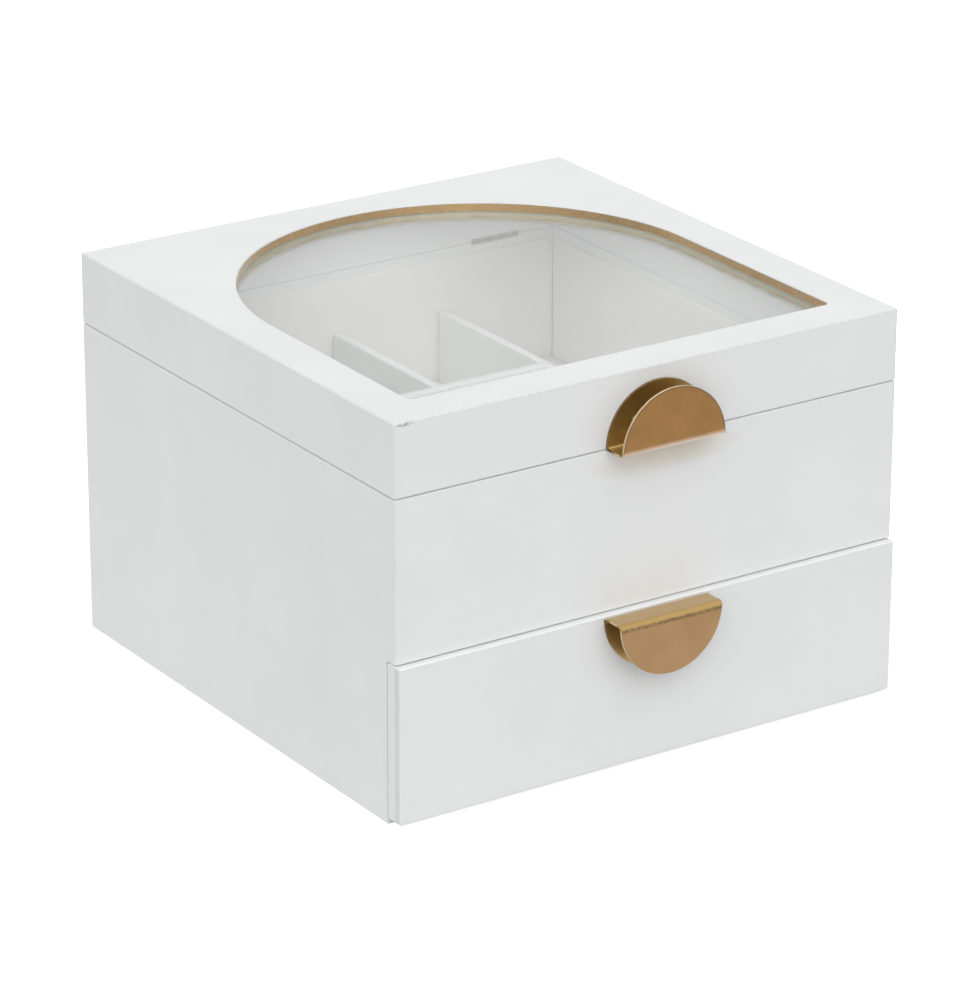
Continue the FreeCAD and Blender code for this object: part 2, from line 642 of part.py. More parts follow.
def handle_screws(label, y, z, wood):
    """Pan-head screws from inside, through the wood into the handle's back plate."""
    tip = "-%s - handle_sheet" % wood
    profile = [(tip, "0"), (tip, "handle_screw_radius"),
               ("0", "handle_screw_radius"), ("0", "handle_screw_head_radius"),
               ("handle_screw_head_height", "handle_screw_head_radius"), ("handle_screw_head_height", "0")]
    revolved_screws(label, "YZ_Plane", "H_Axis", profile, "N_Axis", "2 * handle_screw_offset",
                    ("-handle_screw_offset", y, z))


# The two handles are alike. On the lid the fold is at the bottom, on the drawer it is at the top.
folded_handle("lid_handle", "front_face", "lid_handle_low", False)
handle_screws("lid_handle_screws", "front_face + end_board", "lid_handle_low + handle_screw_height",
              "end_board")
folded_handle("drawer_handle", "drawer_front_face", "drawer_handle_high", True)
handle_screws("drawer_handle_screws", "drawer_front_back", "drawer_handle_high - handle_screw_height",
              "drawer_front_thickness")


def hinge_leaf(label, x, on_lid):
    """One leaf of a butt hinge, with its origin on the pin. The body's leaf carries the two outer knuckles,
    the lid's leaf the middle one, and both plates lie flush in the edges of the boards."""
    leaf = new_body(label, x, "pin_line", "seam_line")
    low = "lid_gap / 2" if on_lid else "-lid_gap / 2 - leaf_thickness"
    plate = new_sketch(leaf, "YZ_Plane", label + "_plate_view")
    rectangle(plate, "-pin_setback - end_board", low, "pin_setback + end_board - knuckle_reach",
              "leaf_thickness")
    pad(leaf, plate, label + "_plate", "hinge_length", middle=True)
    length = "knuckle_length - knuckle_gap" if on_lid else "hinge_length"
    tongue = new_sketch(leaf, "YZ_Plane", label + "_tongue_view")
    rectangle(tongue, "-knuckle_reach - leaf_thickness", low,
              "knuckle_reach + leaf_thickness", "leaf_thickness")
    pad(leaf, tongue, label + "_tongue", length, middle=True)
    barrel = new_sketch(leaf, "YZ_Plane", label + "_barrel_view")
    circle(barrel, "0", "0", "knuckle_radius")
    pad(leaf, barrel, label + "_barrel", length, middle=True)
    if not on_lid:
        middle = new_sketch(leaf, "XY_Plane", label + "_middle_view")
        rectangle(middle, "-knuckle_length / 2 - knuckle_gap / 2", "-knuckle_reach",
                  "knuckle_length + knuckle_gap", "2 * knuckle_reach")
        pocket(leaf, middle, label + "_middle", "past_leaf", middle=True)
    bore = new_sketch(leaf, "YZ_Plane", label + "_bore_view")
    circle(bore, "0", "0", "pin_radius + pin_play")
    pocket(leaf, bore, label + "_bore", "past_hinge", middle=True)
    holes = new_sketch(leaf, "XY_Plane", label + "_hole_view")
    for side in ("-", "+"):
        circle(holes, "%shinge_screw_offset" % side, "-pin_setback - end_board / 2", "hinge_hole")
    pocket(leaf, holes, label + "_holes", "past_leaf", middle=True)
    open_side = value("lid_gap / 2") if on_lid else value("-lid_gap / 2")

    def hole_rim(edge):
        return edge.Curve.TypeId == "Part::GeomCircle" and level_with(edge, "Z", open_side)

    dress(leaf, "PartDesign::Chamfer", label + "_sinks", hole_rim,
          "hinge_screw_head_radius - hinge_screw_radius")
    return leaf


def hinge_screws(label, x, z, downwards):
    """Countersunk screws through a leaf, upright in the edge of the board."""
    sign = "-" if downwards else ""
    profile = [("0", "0"), ("hinge_screw_head_radius", "0"),
               ("hinge_screw_radius", sign + "(hinge_screw_head_radius - hinge_screw_radius)"),
               ("hinge_screw_radius", sign + "(hinge_screw_length - hinge_screw_radius)"),
               ("0", sign + "hinge_screw_length")]
    revolved_screws(label, "XZ_Plane", "V_Axis", profile, "H_Axis", "2 * hinge_screw_offset",
                    ("(%s) - hinge_screw_offset" % x, "back_face - end_board / 2", z))


# Two butt hinges at the back seam.
for side, x in (("left", "-hinge_offset"), ("right", "hinge_offset")):
    hinge_leaf(side + "_hinge_body_leaf", x, False)
    hinge_leaf(side + "_hinge_lid_leaf", x, True)
    hinge_screws(side + "_hinge_body_screws", x, "body_top", True)
    hinge_screws(side + "_hinge_lid_screws", x, "lid_bottom", False)
    pin = doc.addObject("Part::Cylinder", side + "_hinge_pin")
    bind(pin, "Radius", "pin_radius")
    bind(pin, "Height", "hinge_length")
    pin.Placement.Rotation = FreeCAD.Rotation(FreeCAD.Vector(0, 1, 0), 90)
    place(pin, "(%s) - hinge_length / 2" % x, "pin_line", "seam_line")
    nodes.append(pin)

doc.recompute()

for item in doc.Objects:
    if "Invalid" in item.State or "Error" in item.State:
        raise RuntimeError("%s has failed" % item.Label)
for node in nodes:
    if node.Shape.isNull() or not node.Shape.isValid():
        raise RuntimeError("%s has no valid shape" % node.Label)

os.makedirs("parts", exist_ok=True)
for node in nodes:
    node.Shape.exportStep("parts/%s.step" % node.Label)
print("sub-parts written:", len(nodes))
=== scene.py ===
# %% [markdown]
# # A white jewelry box with a glass lid and a drawer
#
# The box is made of thin boards under white lacquer. A hinged lid with an arched window covers a divided
# tray, and a drawer runs below it. Every board, hinge and screw already has its true shape in the packed
# model, so this script loads that model as a fixed frame. It then adds the finishes, the soft linings, the
# folded gold handles and the small hardware, and last the light and the camera.

import math

import bmesh
import bpy
import numpy as np
from mathutils import Matrix, Vector


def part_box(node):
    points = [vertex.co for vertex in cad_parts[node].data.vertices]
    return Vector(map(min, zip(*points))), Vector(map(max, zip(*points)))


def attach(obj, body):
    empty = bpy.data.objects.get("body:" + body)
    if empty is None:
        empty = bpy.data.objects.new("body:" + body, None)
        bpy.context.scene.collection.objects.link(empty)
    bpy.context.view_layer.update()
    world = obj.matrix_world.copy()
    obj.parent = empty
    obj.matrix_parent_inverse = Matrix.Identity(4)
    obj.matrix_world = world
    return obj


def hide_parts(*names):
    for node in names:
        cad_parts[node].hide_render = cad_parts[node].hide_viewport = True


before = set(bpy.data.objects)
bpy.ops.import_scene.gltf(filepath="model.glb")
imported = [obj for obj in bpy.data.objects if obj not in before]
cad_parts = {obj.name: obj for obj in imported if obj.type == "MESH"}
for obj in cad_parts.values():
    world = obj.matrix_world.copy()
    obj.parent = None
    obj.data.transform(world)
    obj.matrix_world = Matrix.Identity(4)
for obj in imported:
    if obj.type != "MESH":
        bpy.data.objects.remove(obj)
bpy.context.view_layer.update()
print("nodes:", len(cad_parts))

# %% [markdown]
# ## Where things are
#
# The frame is in metres: the front faces -Y, up is +Z and the origin is under the middle of the box. It is
# easier to think of a small box in millimetres, so lengths below are written as a number times MM. Places
# are read from the model wherever a new piece has to sit on an old one.

# %% Units and places taken from the model
MM = 0.001
BOX_HALF = 100 * MM
BOX_TOP = 140 * MM
WALL = -BOX_HALF


def node_box(name):
    """The lowest and highest corner of a CAD node as two numpy arrays."""
    low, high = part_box(name)
    return np.array(low), np.array(high)


LID_SEAM = node_box("lid_front_rail")[0][2]
LID_PULL_FOOT = node_box("lid_handle")[0][2]
GLASS_UNDERSIDE = node_box("window_glass")[0][2]
_, DRAWER_PULL_FRONT, _ = node_box("drawer_handle")[0]
_, DRAWER_WALL, DRAWER_PULL_TOP = node_box("drawer_handle")[1]
print("lid seam at", round(LID_SEAM / MM, 2), "mm, glass at", round(GLASS_UNDERSIDE / MM, 2), "mm")

# %% [markdown]
# The two handles are alike: a half circle of one radius, cut from one sheet, that stands out from the wall by
# one depth. The centre of the half circle lies a little inside the fold. The lid's handle was screwed on a
# hair to the right of the middle.

# %% Sizes of the handles
HANDLE_RADIUS = 20.3 * MM
HANDLE_SHEET = 0.8 * MM
HANDLE_DEPTH = 10.0 * MM
FOLD_RADIUS = 2.0 * MM
FOLD_DROP = 0.5 * MM
LID_PULL_SHIFT = 1.6 * MM

# %% [markdown]
# ## Small helpers for node trees
#
# A finish is a small tree of nodes. The same steps come back in every tree: add a node, set its numbers, and
# join it to the next. A few helpers keep each recipe short enough to read as a recipe. All patterns read
# Object coordinates, so they stay on the wood when the lid or the drawer moves.
#
# The values of a noise crowd round 0.5, so a recipe stretches a band of them over the whole range. Two bands
# come back often. The sizes of patterns are in cells to the metre.

# %% Node helpers
BROAD_BAND = (0.3, 0.7)
MIDDLE_BAND = (0.35, 0.65)
WHITE = (1.0, 1.0, 1.0)


def new_finish(name):
    """A new material, its node tree, its Principled shader and its Object coordinates."""
    finish = bpy.data.materials.new(name)
    finish.use_nodes = True
    tree = finish.node_tree
    shader = tree.nodes["Principled BSDF"]
    place = tree.nodes.new("ShaderNodeTexCoord").outputs["Object"]
    return finish, tree, shader, place


def join(tree, item, socket):
    """Link a socket, or write a number or a colour into it."""
    if isinstance(item, bpy.types.NodeSocket):
        tree.links.new(item, socket)
    elif isinstance(item, tuple):
        socket.default_value = item if len(socket.default_value) == 3 else (*item, 1.0)
    else:
        socket.default_value = item


def add_node(tree, kind, inputs=None, **settings):
    """Add a node. settings are its own properties, inputs are sockets or numbers by name or index."""
    node = tree.nodes.new("ShaderNode" + kind)
    for key, setting in settings.items():
        setattr(node, key, setting)
    for key, item in (inputs or {}).items():
        join(tree, item, node.inputs[key])
    return node


def calculate(tree, operation, first, second=0.0, clamp=False):
    """The result of a Math node."""
    inputs = {0: first, 1: second}
    return add_node(tree, "Math", inputs, operation=operation, use_clamp=clamp).outputs[0]


def vector_math(tree, operation, *items):
    """The outputs of a Vector Math node: 0 is a vector, and "Value" is a number."""
    return add_node(tree, "VectorMath", dict(enumerate(items)), operation=operation).outputs


def noise(tree, place, cells, detail=3.0, roughness=0.55):
    """A noise pattern with so many cells to the metre. Its values lie round 0.5."""
    inputs = {"Vector": place, "Scale": cells, "Detail": detail, "Roughness": roughness}
    return add_node(tree, "TexNoise", inputs).outputs["Fac"]


def remap(tree, value, band, result=(0.0, 1.0)):
    """Move a value from one range to another, held at both ends."""
    inputs = {"Value": value, "From Min": band[0], "From Max": band[1],
              "To Min": result[0], "To Max": result[1]}
    return add_node(tree, "MapRange", inputs).outputs["Result"]


def average(tree, *patterns):
    """The mean of two patterns."""
    halves = [calculate(tree, "MULTIPLY", pattern, 0.5) for pattern in patterns]
    return calculate(tree, "ADD", *halves)


def waver(tree, place, cells, size):
    """A noise round 0 that moves a line by a share of a size."""
    return calculate(tree, "MULTIPLY", calculate(tree, "SUBTRACT", noise(tree, place, cells), 0.5), size)


def mix(tree, share, first, second):
    """Mix two colours by a share."""
    node = add_node(tree, "Mix", data_type="RGBA")
    for name, item in (("Factor", share), ("A", first), ("B", second)):
        join(tree, item, next(socket for socket in node.inputs if socket.name == name and socket.enabled))
    return next(socket for socket in node.outputs if socket.enabled)


def mix_shaders(tree, share, first, second):
    """Mix the shaders of two nodes by a share."""
    return add_node(tree, "MixShader", {0: share, 1: first.outputs[0], 2: second.outputs[0]})


def any_ray(tree, path, *names):
    """1 for a ray that one of these outputs of a Light Path node names, and 0 for the others."""
    found = path.outputs[names[0]]
    for name in names[1:]:
        found = calculate(tree, "MAXIMUM", found, path.outputs[name])
    return found


def bump(tree, shader, height, depth):
    """Let a height pattern, so many metres deep, tilt the light on the surface."""
    node = add_node(tree, "Bump", {"Height": height, "Distance": depth, "Strength": 1.0})
    join(tree, node.outputs["Normal"], shader.inputs["Normal"])


def parts_of(tree, place):
    """The X, Y and Z of a place, each as a socket."""
    return add_node(tree, "SeparateXYZ", {0: place}).outputs


def near_spot(tree, place, spot, reach, core):
    """1 in the core of a spot, falling to 0 at each axis's own reach."""
    offset = vector_math(tree, "SUBTRACT", place, spot)[0]
    scaled = vector_math(tree, "MULTIPLY", offset, tuple(1.0 / length for length in reach))[0]
    return remap(tree, vector_math(tree, "LENGTH", scaled)["Value"], (core, 1.0), (1.0, 0.0))


def finish_nodes(finish, *names):
    """Give CAD nodes a finish."""
    for name in names:
        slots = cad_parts[name].data.materials
        slots.clear()
        slots.append(finish)
    print(finish.name, "on", len(names), "nodes")


# %% [markdown]
# ## White lacquer
#
# The boards are sprayed white. Fresh lacquer on board isn't perfectly flat: it has a very fine ripple and a
# few soft clouds in its tone. Along the outer edges and the lid's seam a greyer colour is painted shade, which
# dims the light on those edges. In a few places small flecks of lacquer have chipped off, down to the grey
# primer. One corner of the lid has had a knock. Below the lid's pull a warm, darker patch is painted shade.
# Clouds, ripple and flecks are noise. The chips and the painted edge shade need to know where the edges are.
# As every board lies square to the frame, an edge is where two of the distances to an outer plane or to the
# lid's seam are small at once.

# %% Values of the lacquer
WHITE_LIGHT = (0.805, 0.815, 0.815)
WHITE_DARK = (0.785, 0.795, 0.797)
CLOUD_CELLS = 30.0
RIPPLE_CELLS = 380.0
RIPPLE_DEPTH = 0.03 * MM
LACQUER_ROUGHNESS = (0.45, 0.38)
LACQUER_SPECULAR = 0.4

# Painted shade: a greyer colour along the outer edges and the lid's seam, which dims the light there
EDGE_SHADE = (0.70, 0.705, 0.705)
EDGE_SHADE_BAND = (0.15, 0.6)
EDGE_WIDTH = 0.9 * MM
SEAM_WIDTH = 0.1 * MM

PRIMER = (0.45, 0.44, 0.43)
FLECK_CELLS, FLECK_BAND = 1100.0, (0.60, 0.66)
WORN_CELLS, WORN_BAND = 45.0, (0.64, 0.74)
STREAK_CELLS, STREAK_BAND = 700.0, (0.44, 0.56)
CHIPPED_CORNER = (-95.4 * MM, -100.0 * MM, 139.3 * MM)
CHIP_REACH = (4.4 * MM, 1.2 * MM, 0.8 * MM)
CHIP_CORE = 0.55

# Painted shade: a warm, darker patch on the front wall below the lid's pull
UNDER_PULL_SHADE = (0.725, 0.675, 0.59)
UNDER_PULL_PLACE = (5.0 * MM, -100.0 * MM, 108.3 * MM)
UNDER_PULL_REACH = (32.0 * MM, 4.0 * MM, 6.6 * MM)
UNDER_PULL_CORE = 0.35
UNDER_PULL_CELLS = 140.0
UNDER_PULL_STRENGTH = (0.7, 1.0)


# %% The lacquer recipe
def outer_edges(tree, place):
    """1 along the box's outer edges and the lid's seam, and 0 elsewhere."""
    x, y, z = parts_of(tree, place)
    sides = [calculate(tree, "ABSOLUTE", axis) for axis in (x, y)]
    near = [remap(tree, axis, (BOX_HALF - EDGE_WIDTH, BOX_HALF)) for axis in sides]
    near_top = remap(tree, z, (BOX_TOP - EDGE_WIDTH, BOX_TOP))
    from_seam = calculate(tree, "ABSOLUTE", calculate(tree, "SUBTRACT", z, LID_SEAM))
    near_seam = remap(tree, from_seam, (SEAM_WIDTH, EDGE_WIDTH), (1.0, 0.0))
    corner = calculate(tree, "MULTIPLY", *near)
    level = calculate(tree, "MAXIMUM", near_top, near_seam)
    rim = calculate(tree, "MULTIPLY", calculate(tree, "MAXIMUM", *near), level)
    return calculate(tree, "MAXIMUM", corner, rim)


def lacquer(name, light, dark, edge_shade_and_chips=True, shade_under_pull=False):
    """Satin lacquer with faint clouds and a fine ripple. Along the box's outer edges and the lid's seam it may
    take a greyer colour, painted shade, and be chipped. Below the lid's pull it may take a warm, darker patch
    of painted shade."""
    finish, tree, shader, place = new_finish(name)
    clouds = noise(tree, place, CLOUD_CELLS, detail=4.0)
    colour = mix(tree, remap(tree, clouds, MIDDLE_BAND), dark, light)
    if edge_shade_and_chips:
        edges = outer_edges(tree, place)
        # Painted shade along the outer edges and the lid's seam
        colour = mix(tree, remap(tree, edges, EDGE_SHADE_BAND), colour, EDGE_SHADE)
        flecks = remap(tree, noise(tree, place, FLECK_CELLS, detail=2.0), FLECK_BAND)
        rare = remap(tree, noise(tree, place, WORN_CELLS, detail=1.0), WORN_BAND)
        worn = calculate(tree, "MULTIPLY", calculate(tree, "MULTIPLY", edges, flecks), rare)
        streaks = remap(tree, noise(tree, place, STREAK_CELLS), STREAK_BAND)
        spot = near_spot(tree, place, CHIPPED_CORNER, CHIP_REACH, CHIP_CORE)
        knock = calculate(tree, "MULTIPLY", spot, streaks)
        colour = mix(tree, calculate(tree, "MAXIMUM", worn, knock, clamp=True), colour, PRIMER)
    if shade_under_pull:
        # Painted shade below the lid's pull, made uneven by a noise
        shade_spot = near_spot(tree, place, UNDER_PULL_PLACE, UNDER_PULL_REACH, UNDER_PULL_CORE)
        uneven = remap(tree, noise(tree, place, UNDER_PULL_CELLS, detail=2.0), BROAD_BAND, UNDER_PULL_STRENGTH)
        colour = mix(tree, calculate(tree, "MULTIPLY", shade_spot, uneven), colour, UNDER_PULL_SHADE)
    join(tree, colour, shader.inputs["Base Color"])
    join(tree, remap(tree, clouds, BROAD_BAND, LACQUER_ROUGHNESS), shader.inputs["Roughness"])
    shader.inputs["Specular IOR Level"].default_value = LACQUER_SPECULAR
    bump(tree, shader, noise(tree, place, RIPPLE_CELLS), RIPPLE_DEPTH)
    return finish


white_lacquer = lacquer("white_lacquer", WHITE_LIGHT, WHITE_DARK)
finish_nodes(white_lacquer, "left_side_panel", "right_side_panel", "back_panel", "base_panel",
             "compartment_floor", "lid_top_panel", "lid_front_rail", "lid_back_rail", "lid_left_rail",
             "lid_right_rail", "drawer_front", "drawer_left_side", "drawer_right_side", "drawer_back",
             "drawer_bottom")
# The front panel under the lid's pull carries its painted shade
pull_shaded_lacquer = lacquer("pull_shaded_lacquer", WHITE_LIGHT, WHITE_DARK, shade_under_pull=True)
finish_nodes(pull_shaded_lacquer, "upper_front_panel")
divider_paint = lacquer("divider_paint", (0.785, 0.80, 0.795), (0.755, 0.77, 0.765), edge_shade_and_chips=False)
finish_nodes(divider_paint, "cross_divider", "left_divider", "centre_divider", "right_divider")

# %% [markdown]
# ## Gold
#
# The handles and the band in the window are coloured like old gold. The colour is a thin metallic paint with
# fine flakes, so it is neither a mirror nor flat: each fleck catches the light a little differently. The
# flakes move the colour and the roughness, a slow drift moves the colour too, and a third noise is the grain
# that is felt under a finger. Over it lies a clear coat.

# %% The gold recipe
FLAKE_CELLS = 2600.0
DRIFT_CELLS, DRIFT_BAND = 110.0, (0.38, 0.62)
GRAIN_CELLS = 1700.0
FLAKE_SWING = 0.06
PAINT_METALLIC = 0.92
COAT_ROUGHNESS = 0.28


def gold_paint(name, light, dark, roughness, grain, colour_change=None, coat=1.0):
    """Metallic paint with flakes under a clear coat: a metal whose colour and roughness wander, with a fine
    grain. colour_change may change the colour further, mostly with painted light: it gets the tree, the place
    and the colour."""
    finish, tree, shader, place = new_finish(name)
    flakes = noise(tree, place, FLAKE_CELLS, detail=2.0, roughness=0.7)
    drift = noise(tree, place, DRIFT_CELLS)
    share = average(tree, remap(tree, flakes, MIDDLE_BAND), remap(tree, drift, DRIFT_BAND))
    colour = mix(tree, share, dark, light)
    join(tree, colour_change(tree, place, colour) if colour_change else colour, shader.inputs["Base Color"])
    swing = (roughness - FLAKE_SWING, roughness + FLAKE_SWING)
    join(tree, remap(tree, flakes, BROAD_BAND, swing), shader.inputs["Roughness"])
    shader.inputs["Metallic"].default_value = PAINT_METALLIC
    shader.inputs["Coat Weight"].default_value = coat
    shader.inputs["Coat Roughness"].default_value = COAT_ROUGHNESS
    bump(tree, shader, noise(tree, place, GRAIN_CELLS, roughness=0.6), grain)
    return finish


# %% [markdown]
# Colour changes with place, and most of these changes are painted light. On the lid's pull a dark line inside
# the arc is painted shade, and a pale foot is a painted reflection of the white below it; behind the front
# plate the colour darkens towards the rim. On the drawer's pull the web is yellower, a painted reflection of
# the sky, and a dark, broken line where the bend ends is painted shade. The cut edges are a lighter gold, a
# painted highlight, and darker close to the box, painted shade. The band is lighter at the back of the arch, a
# painted highlight where it faces the light, and the lid's lacquer laps over its upper edge.

# %% Colour changes on the gold, most of them painted light
ARC_CENTRE = (LID_PULL_SHIFT, 0.0, LID_PULL_FOOT + FOLD_DROP)
# Painted shade: a dark line just inside the lid pull's half circle
ARC_SHADE_RADII = (19.5 * MM, 20.0 * MM)
ARC_SHADE_SHARE = (0.0, 0.65)
ARC_SHADE_COLOUR = (0.22, 0.14, 0.06)
# Painted reflection: the pale foot of the lid's pull mirrors the white below it
FOOT_REFLECTION_LEVELS = (LID_PULL_FOOT + 0.5 * MM, LID_PULL_FOOT + 2.6 * MM)
FOOT_REFLECTION_SHARE = (0.7, 0.0)
FOOT_REFLECTION_WAVER = (260.0, 1.2 * MM)
FOOT_REFLECTION_COLOUR = (0.95, 0.82, 0.68)
INSIDE_LEVELS = (LID_PULL_FOOT + 7.0 * MM, LID_PULL_FOOT + 18.0 * MM)
INSIDE_COLOUR = (0.47, 0.31, 0.11)

# Painted reflection: the drawer pull's web is yellower where it faces the sky
WEB_REFLECTION_LEVELS = (DRAWER_PULL_TOP - 2.4 * MM, DRAWER_PULL_TOP - 1.4 * MM)
WEB_SKY_REFLECTION = (0.53, 0.335, 0.10)
# Painted shade: a dark, broken line where the drawer pull's front bend ends
BEND_END = DRAWER_PULL_TOP - 2.1 * MM
BEND_SHADE_WIDTHS = (0.25 * MM, 0.85 * MM)
BEND_WAVER = (300.0, 1.1 * MM)
BEND_FRONT = (DRAWER_PULL_FRONT + 0.5 * MM, DRAWER_PULL_FRONT + 1.0 * MM)
BREAK_CELLS, BREAK_BAND, BREAK_SHARE = 700.0, (0.36, 0.58), (0.35, 0.85)
BEND_SHADE_COLOUR = (0.20, 0.115, 0.035)

# Painted shade: the cut edges darken close to the box
WALL_SIDE_SHADE_DISTANCES = (WALL - 6.5 * MM, WALL - 4.0 * MM)
WALL_SIDE_SHADE = (0.20, 0.125, 0.05)

# Painted highlight: the band is lighter where it faces the light, at the back of the arch
BAND_HIGHLIGHT_CENTRE = 40 * MM
BAND_HIGHLIGHT_REACH = 45 * MM
BAND_HIGHLIGHT_BACK = (30 * MM, 60 * MM)
BAND_HIGHLIGHT_COLOUR = (0.82, 0.55, 0.27)
LAP_LEVELS = (BOX_TOP - 0.30 * MM, BOX_TOP - 0.22 * MM)


def lid_pull_painted_light(tree, place, colour):
    """A dark line of painted shade just inside the half circle, and a pale foot that is a painted reflection.
    """
    offset = vector_math(tree, "SUBTRACT", place, ARC_CENTRE)[0]
    flat = vector_math(tree, "MULTIPLY", offset, (1.0, 0.0, 1.0))[0]
    radius = vector_math(tree, "LENGTH", flat)["Value"]
    colour = mix(tree, remap(tree, radius, ARC_SHADE_RADII, ARC_SHADE_SHARE), colour, ARC_SHADE_COLOUR)
    z = parts_of(tree, place)[2]
    level = calculate(tree, "ADD", z, waver(tree, place, *FOOT_REFLECTION_WAVER))
    return mix(tree, remap(tree, level, FOOT_REFLECTION_LEVELS, FOOT_REFLECTION_SHARE), colour, FOOT_REFLECTION_COLOUR)


def inside_darkening(tree, place, colour):
    """Inside the lid's pull the paint darkens towards the rim."""
    z = parts_of(tree, place)[2]
    return mix(tree, remap(tree, z, INSIDE_LEVELS), colour, INSIDE_COLOUR)


def drawer_pull_painted_light(tree, place, colour):
    """A yellower web and bend, a painted reflection of the sky, and a dark, broken line of painted shade where
    the front bend ends.
    """
    _, y, z = parts_of(tree, place)
    colour = mix(tree, remap(tree, z, WEB_REFLECTION_LEVELS), colour, WEB_SKY_REFLECTION)
    level = calculate(tree, "ADD", z, waver(tree, place, *BEND_WAVER))
    from_end = calculate(tree, "ABSOLUTE", calculate(tree, "SUBTRACT", level, BEND_END))
    line = remap(tree, from_end, BEND_SHADE_WIDTHS, (1.0, 0.0))
    front = remap(tree, y, BEND_FRONT, (1.0, 0.0))
    broken = remap(tree, noise(tree, place, BREAK_CELLS, detail=2.0), BREAK_BAND, BREAK_SHARE)
    share = calculate(tree, "MULTIPLY", calculate(tree, "MULTIPLY", line, front), broken)
    return mix(tree, share, colour, BEND_SHADE_COLOUR)


def shade_near_wall(tree, place, colour):
    """Cut edges keep the lighter rim gold, a painted highlight, on the front plates, and take painted shade
    close to the box.
    """
    y = parts_of(tree, place)[1]
    return mix(tree, remap(tree, y, WALL_SIDE_SHADE_DISTANCES), colour, WALL_SIDE_SHADE)


def band_highlight_and_lap(tree, place, colour):
    """The band is lighter where it faces the light at the back of the arch, a painted highlight, and the
    lacquer of the lid covers its upper edge.
    """
    x, y, z = parts_of(tree, place)
    aside = calculate(tree, "ABSOLUTE", calculate(tree, "SUBTRACT", x, BAND_HIGHLIGHT_CENTRE))
    across = remap(tree, aside, (0.0, BAND_HIGHLIGHT_REACH), (1.0, 0.0))
    highlight_patch = calculate(tree, "MULTIPLY", across, remap(tree, y, BAND_HIGHLIGHT_BACK))
    colour = mix(tree, highlight_patch, colour, BAND_HIGHLIGHT_COLOUR)
    return mix(tree, remap(tree, z, LAP_LEVELS), colour, WHITE_LIGHT)


# %% The gold finishes
SHEET_GRAIN = 0.035 * MM
EDGE_GRAIN = 0.02 * MM
BAND_GRAIN = 0.006 * MM
# Painted light: the two pulls take two copies of one gold, the drawer's paler and less saturated for the
# brighter things it mirrors
lid_gold_shaded = gold_paint("lid_gold_shaded", (0.54, 0.265, 0.066), (0.43, 0.21, 0.05), 0.42, SHEET_GRAIN, lid_pull_painted_light)
drawer_gold_lit = gold_paint("drawer_gold_lit", (0.50, 0.287, 0.112), (0.41, 0.232, 0.088), 0.42, SHEET_GRAIN,
                         drawer_pull_painted_light)
# Painted light: the insides of the pulls take lighter, yellower copies of their gold
lid_inside_lightened = gold_paint("lid_inside_lightened", (0.70, 0.53, 0.22), (0.61, 0.45, 0.18), 0.34, SHEET_GRAIN,
                        inside_darkening, coat=0.3)
drawer_inside_lightened = gold_paint("drawer_inside_lightened", (0.57, 0.39, 0.17), (0.48, 0.33, 0.135), 0.34, SHEET_GRAIN,
                           coat=0.3)
# The cut edges' lighter gold is a painted highlight
gold_rim_highlight = gold_paint("gold_rim_highlight", (0.80, 0.62, 0.38), (0.70, 0.52, 0.30), 0.32, EDGE_GRAIN, shade_near_wall)
gold_band = gold_paint("gold_band", (0.60, 0.40, 0.20), (0.55, 0.365, 0.175), 0.30, BAND_GRAIN, band_highlight_and_lap)
finish_nodes(gold_band, "window_trim")

# %% [markdown]
# ## Glass
#
# The window is a clear pane, two millimetres thick. Real glass bends what is behind it, and its refraction is
# what lifts the inside of the box a little. But a path tracer finds it hard to bring light through bent glass,
# and the tray would go dark. So the pane stays true glass for what we look at, and lets lamps and daylight
# straight through with a Transparent shader.

# %% The glass recipe
SMEAR_CELLS, SMEAR_BAND = 22.0, (0.45, 0.75)
SMEAR_ROUGHNESS = (0.0, 0.02)


def clear_glass(name, tint):
    """Clear glass that bends the view but lets lamps and bounced light straight through."""
    finish, tree, shader, place = new_finish(name)
    shader.inputs["Base Color"].default_value = (*tint, 1.0)
    shader.inputs["Transmission Weight"].default_value = 1.0
    shader.inputs["IOR"].default_value = 1.5
    smears = noise(tree, place, SMEAR_CELLS, detail=2.0)
    join(tree, remap(tree, smears, SMEAR_BAND, SMEAR_ROUGHNESS), shader.inputs["Roughness"])
    open_way = add_node(tree, "BsdfTransparent", {"Color": WHITE})
    lamps = any_ray(tree, add_node(tree, "LightPath"), "Is Shadow Ray", "Is Diffuse Ray")
    choice = mix_shaders(tree, lamps, shader, open_way)
    join(tree, choice.outputs[0], tree.nodes["Material Output"].inputs["Surface"])
    return finish


window_pane = clear_glass("window_pane", (0.985, 0.995, 0.99))
finish_nodes(window_pane, "window_glass")

# %% [markdown]
# ## Steel for hinges and screws
#
# The butt hinges and the screws are zinc plated: grey, a little cloudy, with fine lines from rolling. A noise
# stretched along one axis gives those lines, because a Mapping node scales the place before the noise sees it.

# %% The steel recipe
ROLLING_CELLS = 2200.0
ROLLING_STRETCH = (0.08, 1.0, 1.0)
ROLLING_DEPTH = 0.01 * MM
ZINC_CELLS = 260.0
ZINC_BAND = (0.75, 1.25)
ZINC_SWING = 0.08


